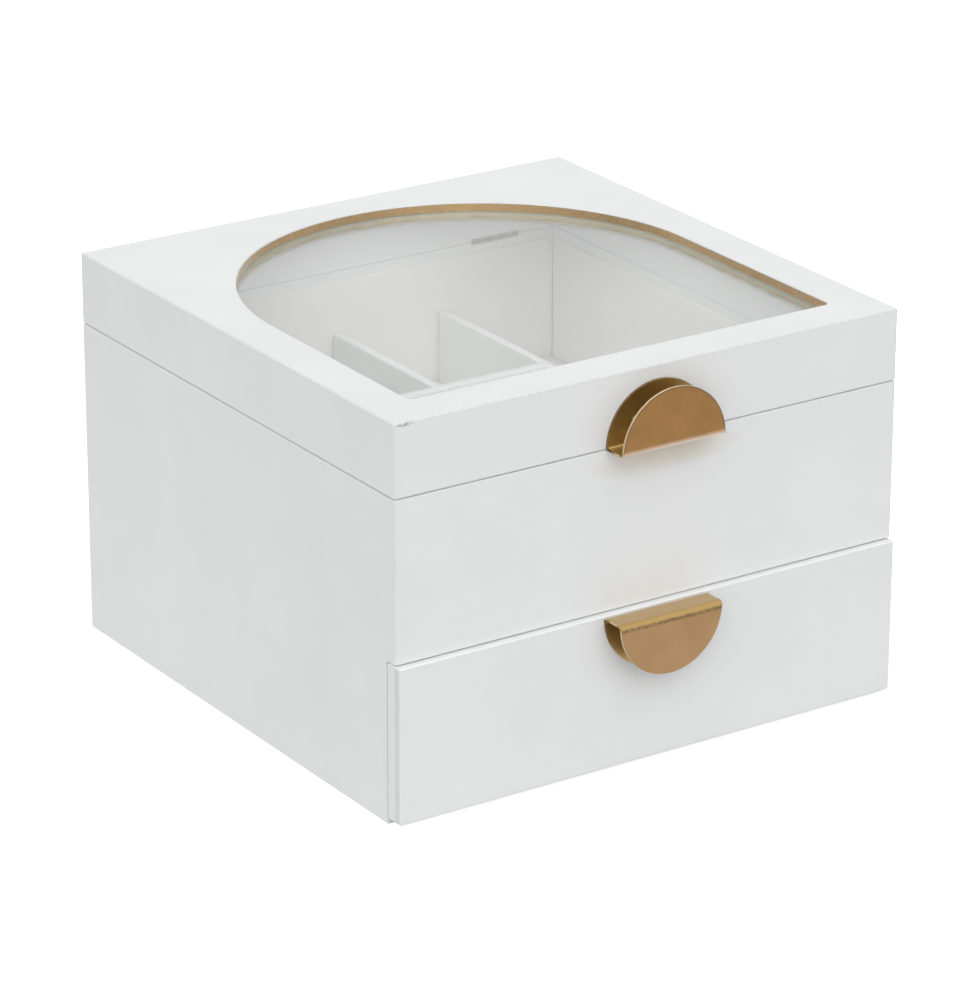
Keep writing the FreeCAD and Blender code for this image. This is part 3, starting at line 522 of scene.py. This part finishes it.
def plated_steel(name, light, dark, roughness):
    """Dull zinc plate: fine lines along X and a slow cloud."""
    finish, tree, shader, place = new_finish(name)
    along = add_node(tree, "Mapping", {"Vector": place, "Scale": ROLLING_STRETCH}).outputs[0]
    lines = noise(tree, along, ROLLING_CELLS, detail=2.0)
    cloud = noise(tree, place, ZINC_CELLS)
    share = remap(tree, calculate(tree, "ADD", lines, cloud), ZINC_BAND)
    join(tree, mix(tree, share, dark, light), shader.inputs["Base Color"])
    swing = (roughness - ZINC_SWING, roughness + ZINC_SWING)
    join(tree, remap(tree, cloud, BROAD_BAND, swing), shader.inputs["Roughness"])
    shader.inputs["Metallic"].default_value = 1.0
    bump(tree, shader, lines, ROLLING_DEPTH)
    return finish


hinge_steel = plated_steel("hinge_steel", (0.50, 0.50, 0.48), (0.36, 0.36, 0.35), 0.38)
finish_nodes(hinge_steel, *[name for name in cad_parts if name.endswith(("_leaf", "_pin"))])
screw_steel = plated_steel("screw_steel", (0.66, 0.66, 0.64), (0.50, 0.50, 0.49), 0.32)

# %% [markdown]
# ## Flock and felt
#
# The tray's walls are covered with thin card under pale grey flock, and felt lies on the floors. Both are
# made of short fibres: the surface scatters light softly, has a light sheen at low angles and a fine, uneven
# nap. Sheen and a strong fine bump on a rough surface give that.

# %% The flock and felt recipe
FIBRE_CELLS = 1500.0
PATCH_CELLS = 55.0
FIBRE_ROUGHNESS = 0.95
FIBRE_SPECULAR = 0.2
FIBRE_SHEEN = 0.15
FLOCK_NAP = 0.08 * MM
FELT_NAP = 0.15 * MM


def short_fibres(name, light, dark, nap):
    """A matt cloth of short fibres: mottled colour, sheen and a nap of a given depth."""
    finish, tree, shader, place = new_finish(name)
    fibres = noise(tree, place, FIBRE_CELLS, detail=4.0, roughness=0.75)
    patches = noise(tree, place, PATCH_CELLS)
    share = average(tree, remap(tree, fibres, BROAD_BAND), remap(tree, patches, BROAD_BAND))
    join(tree, mix(tree, share, dark, light), shader.inputs["Base Color"])
    shader.inputs["Roughness"].default_value = FIBRE_ROUGHNESS
    shader.inputs["Specular IOR Level"].default_value = FIBRE_SPECULAR
    shader.inputs["Sheen Weight"].default_value = FIBRE_SHEEN
    bump(tree, shader, fibres, nap)
    return finish


wall_flock = short_fibres("wall_flock", (0.835, 0.83, 0.81), (0.785, 0.78, 0.76), FLOCK_NAP)
floor_felt = short_fibres("floor_felt", (0.82, 0.815, 0.795), (0.75, 0.745, 0.725), FELT_NAP)

# %% [markdown]
# ## From a grid of points to a piece
#
# New pieces are surfaces: a shape is a function of two parameters, worked out for a whole grid of points at
# once. One helper turns such a grid into faces, and can close it into a ring. Another makes the mesh, and it
# merges what falls together at a pole.

# %% Mesh helpers
MERGE_DISTANCE = 0.002 * MM
LEAST_EDGE = 0.001 * MM
NOISE_WAVES = 14
NOISE_PACES = (0.6, 1.7)


def grid_faces(rows, columns, ring=False, first=0):
    """Corner numbers of the squares between the points of a grid, as an array with 4 columns."""
    row = np.arange(rows - 1)[:, None] * columns
    column = np.arange(columns if ring else columns - 1)[None, :]
    after = (column + 1) % columns
    corners = [row + column, row + after, row + columns + after, row + columns + column]
    return np.stack([corner.reshape(-1) for corner in corners], axis=1) + first


def tidy_mesh(mesh):
    """Merge points that fall together, drop faces without area and turn all faces outwards."""
    edit = bmesh.new()
    edit.from_mesh(mesh)
    bmesh.ops.remove_doubles(edit, verts=edit.verts, dist=MERGE_DISTANCE)
    bmesh.ops.dissolve_degenerate(edit, edges=edit.edges, dist=LEAST_EDGE)
    bmesh.ops.recalc_face_normals(edit, faces=edit.faces)
    edit.to_mesh(mesh)
    edit.free()


def make_piece(name, points, faces, finish, body, sharp=60.0):
    """Put points and faces into a mesh, merge double points, and let the piece ride on a body. Edges where the
    surface turns by more than sharp degrees stay sharp."""
    mesh = bpy.data.meshes.new(name)
    mesh.vertices.add(len(points))
    mesh.vertices.foreach_set("co", np.asarray(points, np.float32).ravel())
    mesh.loops.add(faces.size)
    mesh.loops.foreach_set("vertex_index", faces.astype(np.int32).ravel())
    mesh.polygons.add(len(faces))
    mesh.polygons.foreach_set("loop_start", np.arange(0, faces.size, faces.shape[1], dtype=np.int32))
    mesh.update(calc_edges=True)
    mesh.validate()
    tidy_mesh(mesh)
    mesh.polygons.foreach_set("use_smooth", np.ones(len(mesh.polygons), bool))
    mesh.set_sharp_from_angle(angle=math.radians(sharp))
    mesh.materials.append(finish)
    piece = bpy.data.objects.new(name, mesh)
    bpy.context.scene.collection.objects.link(piece)
    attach(piece, body)
    return piece


def steady_noise(points, size, seed):
    """Smooth random values, most from -1 to 1, for an array of points: a sum of sine waves in fixed random
    directions."""
    chance = np.random.default_rng(seed)
    directions = chance.normal(size=(NOISE_WAVES, points.shape[-1]))
    directions /= np.linalg.norm(directions, axis=1, keepdims=True)
    pace = chance.uniform(*NOISE_PACES, NOISE_WAVES) * 2 * np.pi / size
    start = chance.uniform(0, 2 * np.pi, NOISE_WAVES)
    return np.sin((points @ directions.T) * pace + start).sum(axis=-1) / NOISE_WAVES ** 0.5


# %% [markdown]
# ## The folded handles
#
# Each handle is one strip of sheet metal bent twice into a U, with both ends cut to a half circle. A drawing
# of that is short: draw the U as a line, slide it sideways, and at each step cut it where the half circle
# ends. So one parameter runs across the handle and the other along the bent sheet. Spacing the steps across
# by the sine of an angle puts the most of them where the half circle is steep. Solidify gives the sheet its
# thickness, with one finish for its outside, one for its inside and one for its cut edges. Bevel breaks those
# edges, in the finish of the cut.

# %% The folded handle as a surface
STEPS_ACROSS = 121
STEPS_ALONG = 181
CUT_ANGLE = 50.0
BROKEN_EDGE = 0.16 * MM
INSIDE_SLOT = 1
RIM_SLOT = 2


def bent_sheet(across, along):
    """The middle of the sheet, as distance from the wall and height over the outside of the fold. across is an
    angle from -90 to 90 degrees, along runs from -1 at the back plate's rim to 1 at the front plate's rim.
    The length from the middle of the web to the rim is half the web, plus the arc, plus the straight part
    that the half circle leaves. A point at that length lies on the web, then on the arc, then on the plate."""
    bend = FOLD_RADIUS - HANDLE_SHEET / 2
    web = HANDLE_DEPTH / 2 - FOLD_RADIUS
    top = FOLD_DROP + HANDLE_RADIUS * np.cos(across)
    turned = np.arccos(np.clip((FOLD_RADIUS - top) / bend, 0.0, 1.0))
    reach = web + bend * turned + np.maximum(top - FOLD_RADIUS, 0.0)
    length = np.abs(along) * reach
    angle = np.clip((length - web) / bend, 0.0, np.pi / 2)
    straight = np.maximum(length - web - bend * np.pi / 2, 0.0)
    out = np.minimum(length, web) + bend * np.sin(angle)
    height = FOLD_RADIUS - bend * np.cos(angle) + straight
    return HANDLE_DEPTH / 2 + np.sign(along) * out, height


def folded_handle(name, node, body, outside, inside, middle, wall, fold, up):
    """A handle round X = middle on a wall at Y = wall. The outside of its fold is at Z = fold, and it opens up
    or down. outside and inside are the finishes of its faces."""
    across = np.linspace(-np.pi / 2, np.pi / 2, STEPS_ACROSS)[None, :]
    along = np.linspace(-1.0, 1.0, STEPS_ALONG)[:, None]
    out, height = bent_sheet(across, along)
    side = middle + HANDLE_RADIUS * np.sin(across) + 0 * along
    points = np.stack([side, wall - out, fold + up * height], axis=-1)
    piece = make_piece(name, points.reshape(-1, 3), grid_faces(*side.shape), outside, body, sharp=CUT_ANGLE)
    # The outside has material slot 0
    piece.data.materials.append(inside)
    piece.data.materials.append(gold_rim_highlight)
    thickness = piece.modifiers.new("sheet_thickness", "SOLIDIFY")
    thickness.thickness = HANDLE_SHEET
    thickness.offset = 0.0
    thickness.use_even_offset = True
    thickness.material_offset = INSIDE_SLOT
    thickness.material_offset_rim = RIM_SLOT
    rounding = piece.modifiers.new("broken_edges", "BEVEL")
    rounding.width = BROKEN_EDGE
    rounding.segments = 2
    rounding.limit_method = "ANGLE"
    rounding.angle_limit = math.radians(CUT_ANGLE)
    rounding.material = RIM_SLOT
    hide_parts(node)
    print(name, "points:", len(piece.data.vertices))


folded_handle("lid_pull", "lid_handle", "lid", lid_gold_shaded, lid_inside_lightened, LID_PULL_SHIFT, WALL, LID_PULL_FOOT, 1)
folded_handle("drawer_pull", "drawer_handle", "drawer", drawer_gold_lit, drawer_inside_lightened, 0.0, DRAWER_WALL,
              DRAWER_PULL_TOP, -1)

# %% [markdown]
# ## Screws
#
# Two pan-head screws hold each handle from inside, and countersunk screws hold the hinge leaves. A screw is a
# turned piece, so a half outline spun round its axis makes it. The cross recess breaks the round symmetry:
# it is a pit whose depth depends on the place in the head, so it is taken off the height as the outline turns.

# %% Turned screws with a cross recess
TURN_STEPS = 48
HEAD_ROWS = 22
FIRST_TURN = 0.6
NEXT_TURN = 0.9
SLOT_FADE = 0.25
END_FADE = 0.3
TIP_BEVEL = 0.25 * MM
POINT_LENGTH = 1.5 * MM

PAN_HEAD_RADIUS = 2.75 * MM
PAN_HEAD_HEIGHT = 1.8 * MM
PAN_DOME_EDGE, PAN_DOME_DROP, PAN_DOME_POWER = 0.86, 0.30, 2.2
PAN_RIM = [(0.95, 0.55), (1.0, 0.30), (1.0, 0.0)]
PAN_SHANK = 1.5 * MM
PAN_RECESS = (1.7 * MM, 0.32 * MM, 0.9 * MM)
PAN_FROM_MIDDLE = 9.0 * MM
PAN_PROUD = 0.3 * MM

FLAT_HEAD_RADIUS = 1.6 * MM
FLAT_SHANK = 0.9 * MM
FLAT_RECESS = (1.0 * MM, 0.2 * MM, 0.5 * MM)
FLAT_SUNK = 0.05 * MM


def cross_pit(x, y, reach, slot, depth):
    """Depth of a cross recess: full in two crossing slots, fading to nothing at the slots' ends and sides."""
    narrow = np.minimum(np.abs(x), np.abs(y))
    far = np.maximum(np.abs(x), np.abs(y))
    across = np.clip((slot - narrow) / (SLOT_FADE * slot), 0.0, 1.0)
    return depth * across * np.clip((reach - far) / (END_FADE * reach), 0.0, 1.0)


def screw_points(outline, recess):
    """Spin a half outline, given as (radius, height) rows from the top of the head to the tip. recess holds the
    reach, the slot and the depth of the cross."""
    radius, height = np.array(outline, float).T
    angle = np.linspace(0, 2 * np.pi, TURN_STEPS, endpoint=False)[None, :]
    x = radius[:, None] * np.cos(angle)
    y = radius[:, None] * np.sin(angle)
    on_head = (np.arange(len(radius)) < HEAD_ROWS)[:, None]
    z = height[:, None] - cross_pit(x, y, *recess) * on_head
    return np.stack([x, y, z], axis=-1)


def screw_group(name, nodes, body, outline, recess, seats, axes):
    """Equal screws at several seats, each turned a little further. axes holds the directions of the screw's
    own x, y and head in the frame."""
    shape = screw_points(outline, recess)
    rows, columns = shape.shape[:2]
    points = []
    faces = []
    for number, seat in enumerate(seats):
        turn = FIRST_TURN + NEXT_TURN * number
        spun = np.array([[math.cos(turn), -math.sin(turn), 0], [math.sin(turn), math.cos(turn), 0], [0, 0, 1]])
        points.append(shape.reshape(-1, 3) @ spun.T @ np.array(axes) + np.array(seat))
        faces.append(grid_faces(rows, columns, ring=True, first=number * rows * columns))
    piece = make_piece(name, np.concatenate(points), np.concatenate(faces), screw_steel, body, sharp=35.0)
    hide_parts(*nodes)
    print(name, "screws:", len(seats))


def pan_outline(length):
    """A domed head, a square shoulder and a shank of a given length with a bevelled tip."""
    radius, height, shank = PAN_HEAD_RADIUS, PAN_HEAD_HEIGHT, PAN_SHANK
    shares = np.linspace(0.0, PAN_DOME_EDGE, HEAD_ROWS)
    top = [(radius * share, height * (1 - PAN_DOME_DROP * share ** PAN_DOME_POWER)) for share in shares]
    rim = [(radius * across, height * up) for across, up in PAN_RIM]
    tip = [(shank, TIP_BEVEL - length), (shank - TIP_BEVEL, -length), (0.0, -length)]
    return top + rim + [(shank, 0.0)] + tip


def flat_outline(length):
    """A flat countersunk head, its cone, and a shank that ends in a point."""
    top = [(FLAT_HEAD_RADIUS * share, 0.0) for share in np.linspace(0.0, 1.0, HEAD_ROWS)]
    cone = FLAT_HEAD_RADIUS - FLAT_SHANK
    return top + [(FLAT_SHANK, -cone), (FLAT_SHANK, POINT_LENGTH - length), (0.0, -length)]


def handle_screws(name, node, body, shift):
    """The two pan-head screws of a handle. Their tips stand a little proud of the handle's back plate."""
    low, high = node_box(node)
    middle = (low[2] + high[2]) / 2
    outline = pan_outline(high[1] - low[1] - PAN_HEAD_HEIGHT + PAN_PROUD)
    seats = [(shift + side * PAN_FROM_MIDDLE, high[1] - PAN_HEAD_HEIGHT, middle) for side in (-1, 1)]
    axes = [(-1, 0, 0), (0, 0, 1), (0, 1, 0)]
    screw_group(name, [node], body, outline, PAN_RECESS, seats, axes)


def hinge_screws(name, node, body, heads_up):
    """The two countersunk screws of a hinge leaf, with their heads just under the face of the leaf."""
    low, high = node_box(node)
    sign = 1 if heads_up else -1
    face = (high[2] if heads_up else low[2]) - sign * FLAT_SUNK
    middle = (low[1] + high[1]) / 2
    seats = [(low[0] + FLAT_HEAD_RADIUS, middle, face), (high[0] - FLAT_HEAD_RADIUS, middle, face)]
    axes = [(1, 0, 0), (0, sign, 0), (0, 0, sign)]
    screw_group(name, [node], body, flat_outline(high[2] - low[2] - FLAT_SUNK), FLAT_RECESS, seats, axes)


handle_screws("lid_pull_screws", "lid_handle_screws", "lid", LID_PULL_SHIFT)
handle_screws("drawer_pull_screws", "drawer_handle_screws", "drawer", 0.0)
for side in ("left", "right"):
    hinge_screws(side + "_leaf_screws_in_back", side + "_hinge_body_screws", "box", True)
    hinge_screws(side + "_leaf_screws_in_lid", side + "_hinge_lid_screws", "lid", False)

# %% [markdown]
# ## Glue under the glass
#
# A bead of pale green glue, laid by hand, holds the pane from below. It follows the window's outline: a half
# circle, two straight sides, two small corners and the sill. Its cross section is half an ellipse that hangs
# from the glass, and its height wavers along the way, as a squeezed bead does.

# %% The bead of glue
WINDOW_RADIUS = 84.0 * MM
WINDOW_CORNER = 2.5 * MM
BEAD_OFFSET = 1.5 * MM
BEAD_HALF_WIDTH = 2.3 * MM
BEAD_HEIGHT = 3.3 * MM
BEAD_GAP = 0.02 * MM
BEAD_STEPS = 15
BEAD_SIDE_LIMITS = (0.7, 1.05)
BEAD_SWELLS = [(0.12, 11 * MM, 8), (0.06, 3 * MM, 9)]
ARCH_STEPS = 300
SIDE_STEPS = 90
SILL_STEPS = 180
CORNER_STEPS = 10


def arc(centre, radius, start, end, count):
    """Places on an arc, without its last one, and their directions away from the centre."""
    angle = np.linspace(start, end, count, endpoint=False)[:, None]
    out = np.concatenate([np.cos(angle), np.sin(angle)], axis=1)
    return np.array(centre) + radius * out, out


def run(start, end, out, count):
    """Places on a straight run, without its last one, and the direction out for each."""
    share = np.linspace(0, 1, count, endpoint=False)[:, None]
    return np.array(start) + share * (np.array(end) - np.array(start)), np.tile(out, (count, 1))


def window_path(grow):
    """The window's outline moved out by grow, as places in the plane and their outward directions. The last
    point falls on the first."""
    radius, corner = WINDOW_RADIUS + grow, WINDOW_CORNER + grow
    inner = radius - corner
    parts = [arc((0, 0), radius, 0, np.pi, ARCH_STEPS),
             run((-radius, 0), (-radius, -inner), (-1.0, 0.0), SIDE_STEPS),
             arc((-inner, -inner), corner, np.pi, 1.5 * np.pi, CORNER_STEPS),
             run((-inner, -radius), (inner, -radius), (0.0, -1.0), SILL_STEPS),
             arc((inner, -inner), corner, 1.5 * np.pi, 2 * np.pi, CORNER_STEPS),
             run((radius, -inner), (radius, 0), (1.0, 0.0), SIDE_STEPS)]
    places, outs = (np.concatenate(rows) for rows in zip(*parts))
    return np.vstack([places, places[:1]]), np.vstack([outs, outs[:1]])


def glue_bead():
    """Half an ellipse swept along the window's path. Along it, a long and a short smooth noise move its height.
    Each has a strength, a size and a seed."""
    path, out = window_path(BEAD_OFFSET)
    swell = 1
    for strength, size, seed in BEAD_SWELLS:
        swell = swell + strength * steady_noise(path, size, seed)
    angle = np.linspace(0, np.pi, BEAD_STEPS)[None, :]
    sideways = BEAD_HALF_WIDTH * np.cos(angle) * np.clip(swell, *BEAD_SIDE_LIMITS)[:, None]
    down = BEAD_HEIGHT * np.sin(angle) * swell[:, None]
    places = path[:, None, :] + sideways[..., None] * out[:, None, :]
    height = GLASS_UNDERSIDE - BEAD_GAP - down
    points = np.concatenate([places, height[..., None]], axis=-1)
    make_piece("glue_bead", points.reshape(-1, 3), grid_faces(*height.shape, ring=True), glue, "lid")


glue = lacquer("glue", (0.56, 0.61, 0.56), (0.49, 0.54, 0.485), edge_shade_and_chips=False)
glue_bead()

# %% [markdown]
# ## Linings and felt
#
# The lining card and the felt pads are thin soft sheets. A cut sheet of cloth-covered card has no sharp rim:
# its faces roll over at the edge and the faces themselves swell a hair. So a sheet is a closed surface over
# a rectangle, where the distance to the nearest edge sets the height: a quarter circle at the rim, flat
# inside, with a little unevenness.

# %% Soft sheets
SHEET_STEPS = (30, 24)
RIM_STEPS = 6
WAVE_SIZE = 14 * MM
LINING_RIM, LINING_WAVES = 0.8 * MM, 0.06 * MM
FELT_RIM, FELT_WAVES = 0.7 * MM, 0.12 * MM
FELT_SEED = 3
SAME_PLACE = 0.01 * MM


def edge_steps(length, rim, inner):
    """Places from 0 to length: close together inside both rims, even between them."""
    curve = rim * (1 - np.cos(np.linspace(0, np.pi / 2, RIM_STEPS)))
    middle = np.linspace(rim, length - rim, inner)[1:-1]
    return np.concatenate([curve, middle, length - curve[::-1]])


def soft_sheet(low, high, axis, face, rim, waviness, seed):
    """Points and faces of a soft sheet that fills a box. axis is the thin direction, face is +1 or -1 for the
    side that shows. The height over the back is the thickness times a quarter circle of the distance to the
    nearest edge, and smooth random waves move it a little."""
    low, high = np.array(low, float), np.array(high, float)
    wide = [number for number in range(3) if number != axis]
    size = high - low
    u, v = (edge_steps(size[number], rim, steps) for number, steps in zip(wide, SHEET_STEPS))
    grid_u, grid_v = np.meshgrid(u, v, indexing="ij")
    edge = np.minimum(np.minimum(grid_u, size[wide[0]] - grid_u), np.minimum(grid_v, size[wide[1]] - grid_v))
    roll = np.sqrt(np.clip(1 - (1 - np.clip(edge / rim, 0, 1)) ** 2, 0, 1))
    waves = waviness * steady_noise(np.stack([grid_u, grid_v], axis=-1), WAVE_SIZE, seed) * roll
    front = size[axis] * roll - np.abs(waves)
    layers = []
    for height in (np.clip(front, 0, size[axis]), np.zeros_like(front)):
        layer = np.empty(grid_u.shape + (3,))
        layer[..., wide[0]] = low[wide[0]] + grid_u
        layer[..., wide[1]] = low[wide[1]] + grid_v
        layer[..., axis] = low[axis] + height if face > 0 else high[axis] - height
        layers.append(layer.reshape(-1, 3))
    faces = grid_faces(*grid_u.shape)
    return np.concatenate(layers), np.concatenate([faces, faces[:, ::-1] + grid_u.size])


def lining(name, node, axis, face):
    """A wall lining in the place of its CAD node."""
    low, high = node_box(node)
    points, faces = soft_sheet(low, high, axis, face, LINING_RIM, LINING_WAVES, len(name))
    piece = make_piece(name, points, faces, wall_flock, "box")
    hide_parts(node)


for side, axis, face in (("front", 1, 1), ("back", 1, -1), ("left", 0, 1), ("right", 0, -1)):
    lining(side + "_wall_flock", side + "_wall_lining", axis, face)


def islands(name):
    """The boxes of the separate solids in a CAD node, found by joining its triangles over shared places."""
    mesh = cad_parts[name].data
    places = np.array([tuple(vertex.co) for vertex in mesh.vertices])
    keys = np.unique(np.round(places / SAME_PLACE).astype(int), axis=0, return_inverse=True)[1].reshape(-1)
    group = np.arange(keys.max() + 1)
    corners = keys[np.array([tuple(polygon.vertices) for polygon in mesh.polygons])]
    changed = True
    while changed:
        lowest = group[corners].min(axis=1)
        before = group.copy()
        for column in range(3):
            np.minimum.at(group, corners[:, column], lowest)
        changed = not np.array_equal(before, group)
    owner = group[keys]
    solids = [places[owner == root] for root in np.unique(owner)]
    return [(solid.min(axis=0), solid.max(axis=0)) for solid in solids]


def felt(name, node, body):
    """All the felt pads of a CAD node, as one piece with a soft sheet for each."""
    points, faces, count = [], [], 0
    for seed, (low, high) in enumerate(islands(node), FELT_SEED):
        sheet_points, sheet_faces = soft_sheet(low, high, 2, 1, FELT_RIM, FELT_WAVES, seed)
        points.append(sheet_points)
        faces.append(sheet_faces + count)
        count += len(sheet_points)
    piece = make_piece(name, np.concatenate(points), np.concatenate(faces), floor_felt, body)
    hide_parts(node)
    print(name, "pads:", len(points))


felt("tray_felt", "tray_floor_pads", "box")
felt("drawer_felt", "drawer_floor_pad", "drawer")

# %% [markdown]
# ## Floor and light
#
# The box stands on a plain white sweep, in a bright even room with one wide soft light in front of it, to the
# left and above. The background has to be pure white without more light on the box, so the floor adds a
# little glow for the camera alone, and still takes the box's shadow. What the floor sends back up to the box
# is the light of grey paper. In the metal the floor fades with its distance, as a lit table does, and that
# gives the gold its depth.

# %% Floor
FLOOR_LIGHT = (0.89, 0.89, 0.89)
FLOOR_DARK = (0.87, 0.87, 0.87)
FLOOR_CELLS = 40.0
FLOOR_GLOW = 0.70
FLOOR_BOUNCE = (0.50, 0.50, 0.50)
FADE_DISTANCES = (0.15, 0.75)
FADE_STRENGTH = (1.0, 0.30)
FLOOR_HALF = 6.0
FLOOR_LEVEL = -0.2 * MM


def floor_finish():
    """White with shadows for the camera, a fading disc for what mirrors it, and grey paper for its light."""
    finish, tree, shader, place = new_finish("floor_white")
    grain = noise(tree, place, FLOOR_CELLS)
    join(tree, mix(tree, grain, FLOOR_DARK, FLOOR_LIGHT), shader.inputs["Base Color"])
    shader.inputs["Roughness"].default_value = 1.0
    shader.inputs["Specular IOR Level"].default_value = 0.0
    glow = add_node(tree, "Emission", {"Color": WHITE, "Strength": FLOOR_GLOW})
    lit = add_node(tree, "AddShader", {0: shader.outputs[0], 1: glow.outputs[0]})
    fade = remap(tree, vector_math(tree, "LENGTH", place)["Value"], FADE_DISTANCES, FADE_STRENGTH)
    mirrored = add_node(tree, "Emission", {"Color": WHITE, "Strength": fade})
    paper = add_node(tree, "BsdfDiffuse", {"Color": FLOOR_BOUNCE})
    path = add_node(tree, "LightPath")
    seen = any_ray(tree, path, "Is Camera Ray", "Is Transmission Ray")
    shiny = mix_shaders(tree, path.outputs["Is Glossy Ray"], paper, mirrored)
    whole = mix_shaders(tree, seen, shiny, lit)
    join(tree, whole.outputs[0], tree.nodes["Material Output"].inputs["Surface"])
    return finish


steps = np.linspace(-FLOOR_HALF, FLOOR_HALF, 3)
floor_points = np.array([(x, y, FLOOR_LEVEL) for y in steps for x in steps])
floor_mesh = bpy.data.meshes.new("floor")
floor_mesh.from_pydata(floor_points.tolist(), [], grid_faces(3, 3).tolist())
floor_mesh.materials.append(floor_finish())
floor = bpy.data.objects.new("floor", floor_mesh)
bpy.context.scene.collection.objects.link(floor)

# %% World
SKY_EVEN = 0.489
SKY_SOFTBOX = 1.945
SOFTBOX_TURN = math.radians(-38)
SOFTBOX_HEIGHT = math.radians(42)
SOFTBOX_POWER = 3.0


def soft_sky():
    """An even sky plus one wide softbox: the cube of the cosine of the angle to its middle. What is seen of it,
    straight on, in metal or in glass, is the plain white of the background."""
    world = bpy.data.worlds.new("studio")
    bpy.context.scene.world = world
    world.use_nodes = True
    tree = world.node_tree
    direction = add_node(tree, "TexCoord").outputs["Generated"]
    towards = (math.sin(SOFTBOX_TURN) * math.cos(SOFTBOX_HEIGHT),
               -math.cos(SOFTBOX_TURN) * math.cos(SOFTBOX_HEIGHT),
               math.sin(SOFTBOX_HEIGHT))
    cosine = vector_math(tree, "DOT_PRODUCT", direction, towards)["Value"]
    lobe = calculate(tree, "POWER", calculate(tree, "MAXIMUM", cosine), SOFTBOX_POWER)
    strength = calculate(tree, "ADD", calculate(tree, "MULTIPLY", lobe, SKY_SOFTBOX), SKY_EVEN)
    light = tree.nodes["Background"]
    light.inputs["Color"].default_value = (*WHITE, 1.0)
    join(tree, strength, light.inputs["Strength"])
    white = add_node(tree, "Background", {"Color": WHITE, "Strength": 1.0})
    path = add_node(tree, "LightPath")
    seen = any_ray(tree, path, "Is Camera Ray", "Is Transmission Ray", "Is Glossy Ray")
    whole = mix_shaders(tree, seen, light, white)
    join(tree, whole.outputs[0], tree.nodes["World Output"].inputs["Surface"])


soft_sky()

# %% [markdown]
# ## Camera
#
# The photograph was taken from the front left, well above the box, with a long lens. The numbers come from
# fitting a pinhole camera to the box's own straight edges: three angles, a place and a focal length.

# %% Camera
YAW, PITCH, ROLL = (math.radians(angle) for angle in (33.7528, 21.5686, 0.1791))
CAMERA_PLACE = Vector((-867.36, -1302.66, 681.86)) * MM
FOCAL_PIXELS = 4877.586
IMAGE_WIDTH = 980
SENSOR_WIDTH = 36.0
CLIP_END = 50.0

forward = Vector((math.sin(YAW) * math.cos(PITCH), math.cos(YAW) * math.cos(PITCH), -math.sin(PITCH)))
level_right = Vector((math.cos(YAW), -math.sin(YAW), 0.0))
level_down = forward.cross(level_right)
right = level_right * math.cos(ROLL) - level_down * math.sin(ROLL)
down = level_right * math.sin(ROLL) + level_down * math.cos(ROLL)
camera_data = bpy.data.cameras.new("camera")
camera_data.sensor_fit = "HORIZONTAL"
camera_data.sensor_width = SENSOR_WIDTH
camera_data.lens = FOCAL_PIXELS / IMAGE_WIDTH * SENSOR_WIDTH
camera_data.clip_end = CLIP_END
camera = bpy.data.objects.new("camera", camera_data)
turned = Matrix((right, -down, -forward)).transposed().to_4x4()
camera.matrix_world = Matrix.Translation(CAMERA_PLACE) @ turned
bpy.context.scene.collection.objects.link(camera)
bpy.context.scene.camera = camera
bpy.context.scene.view_settings.view_transform = "Standard"
print("lens:", round(camera_data.lens, 1), "mm")

# %% Finish
bpy.context.view_layer.update()
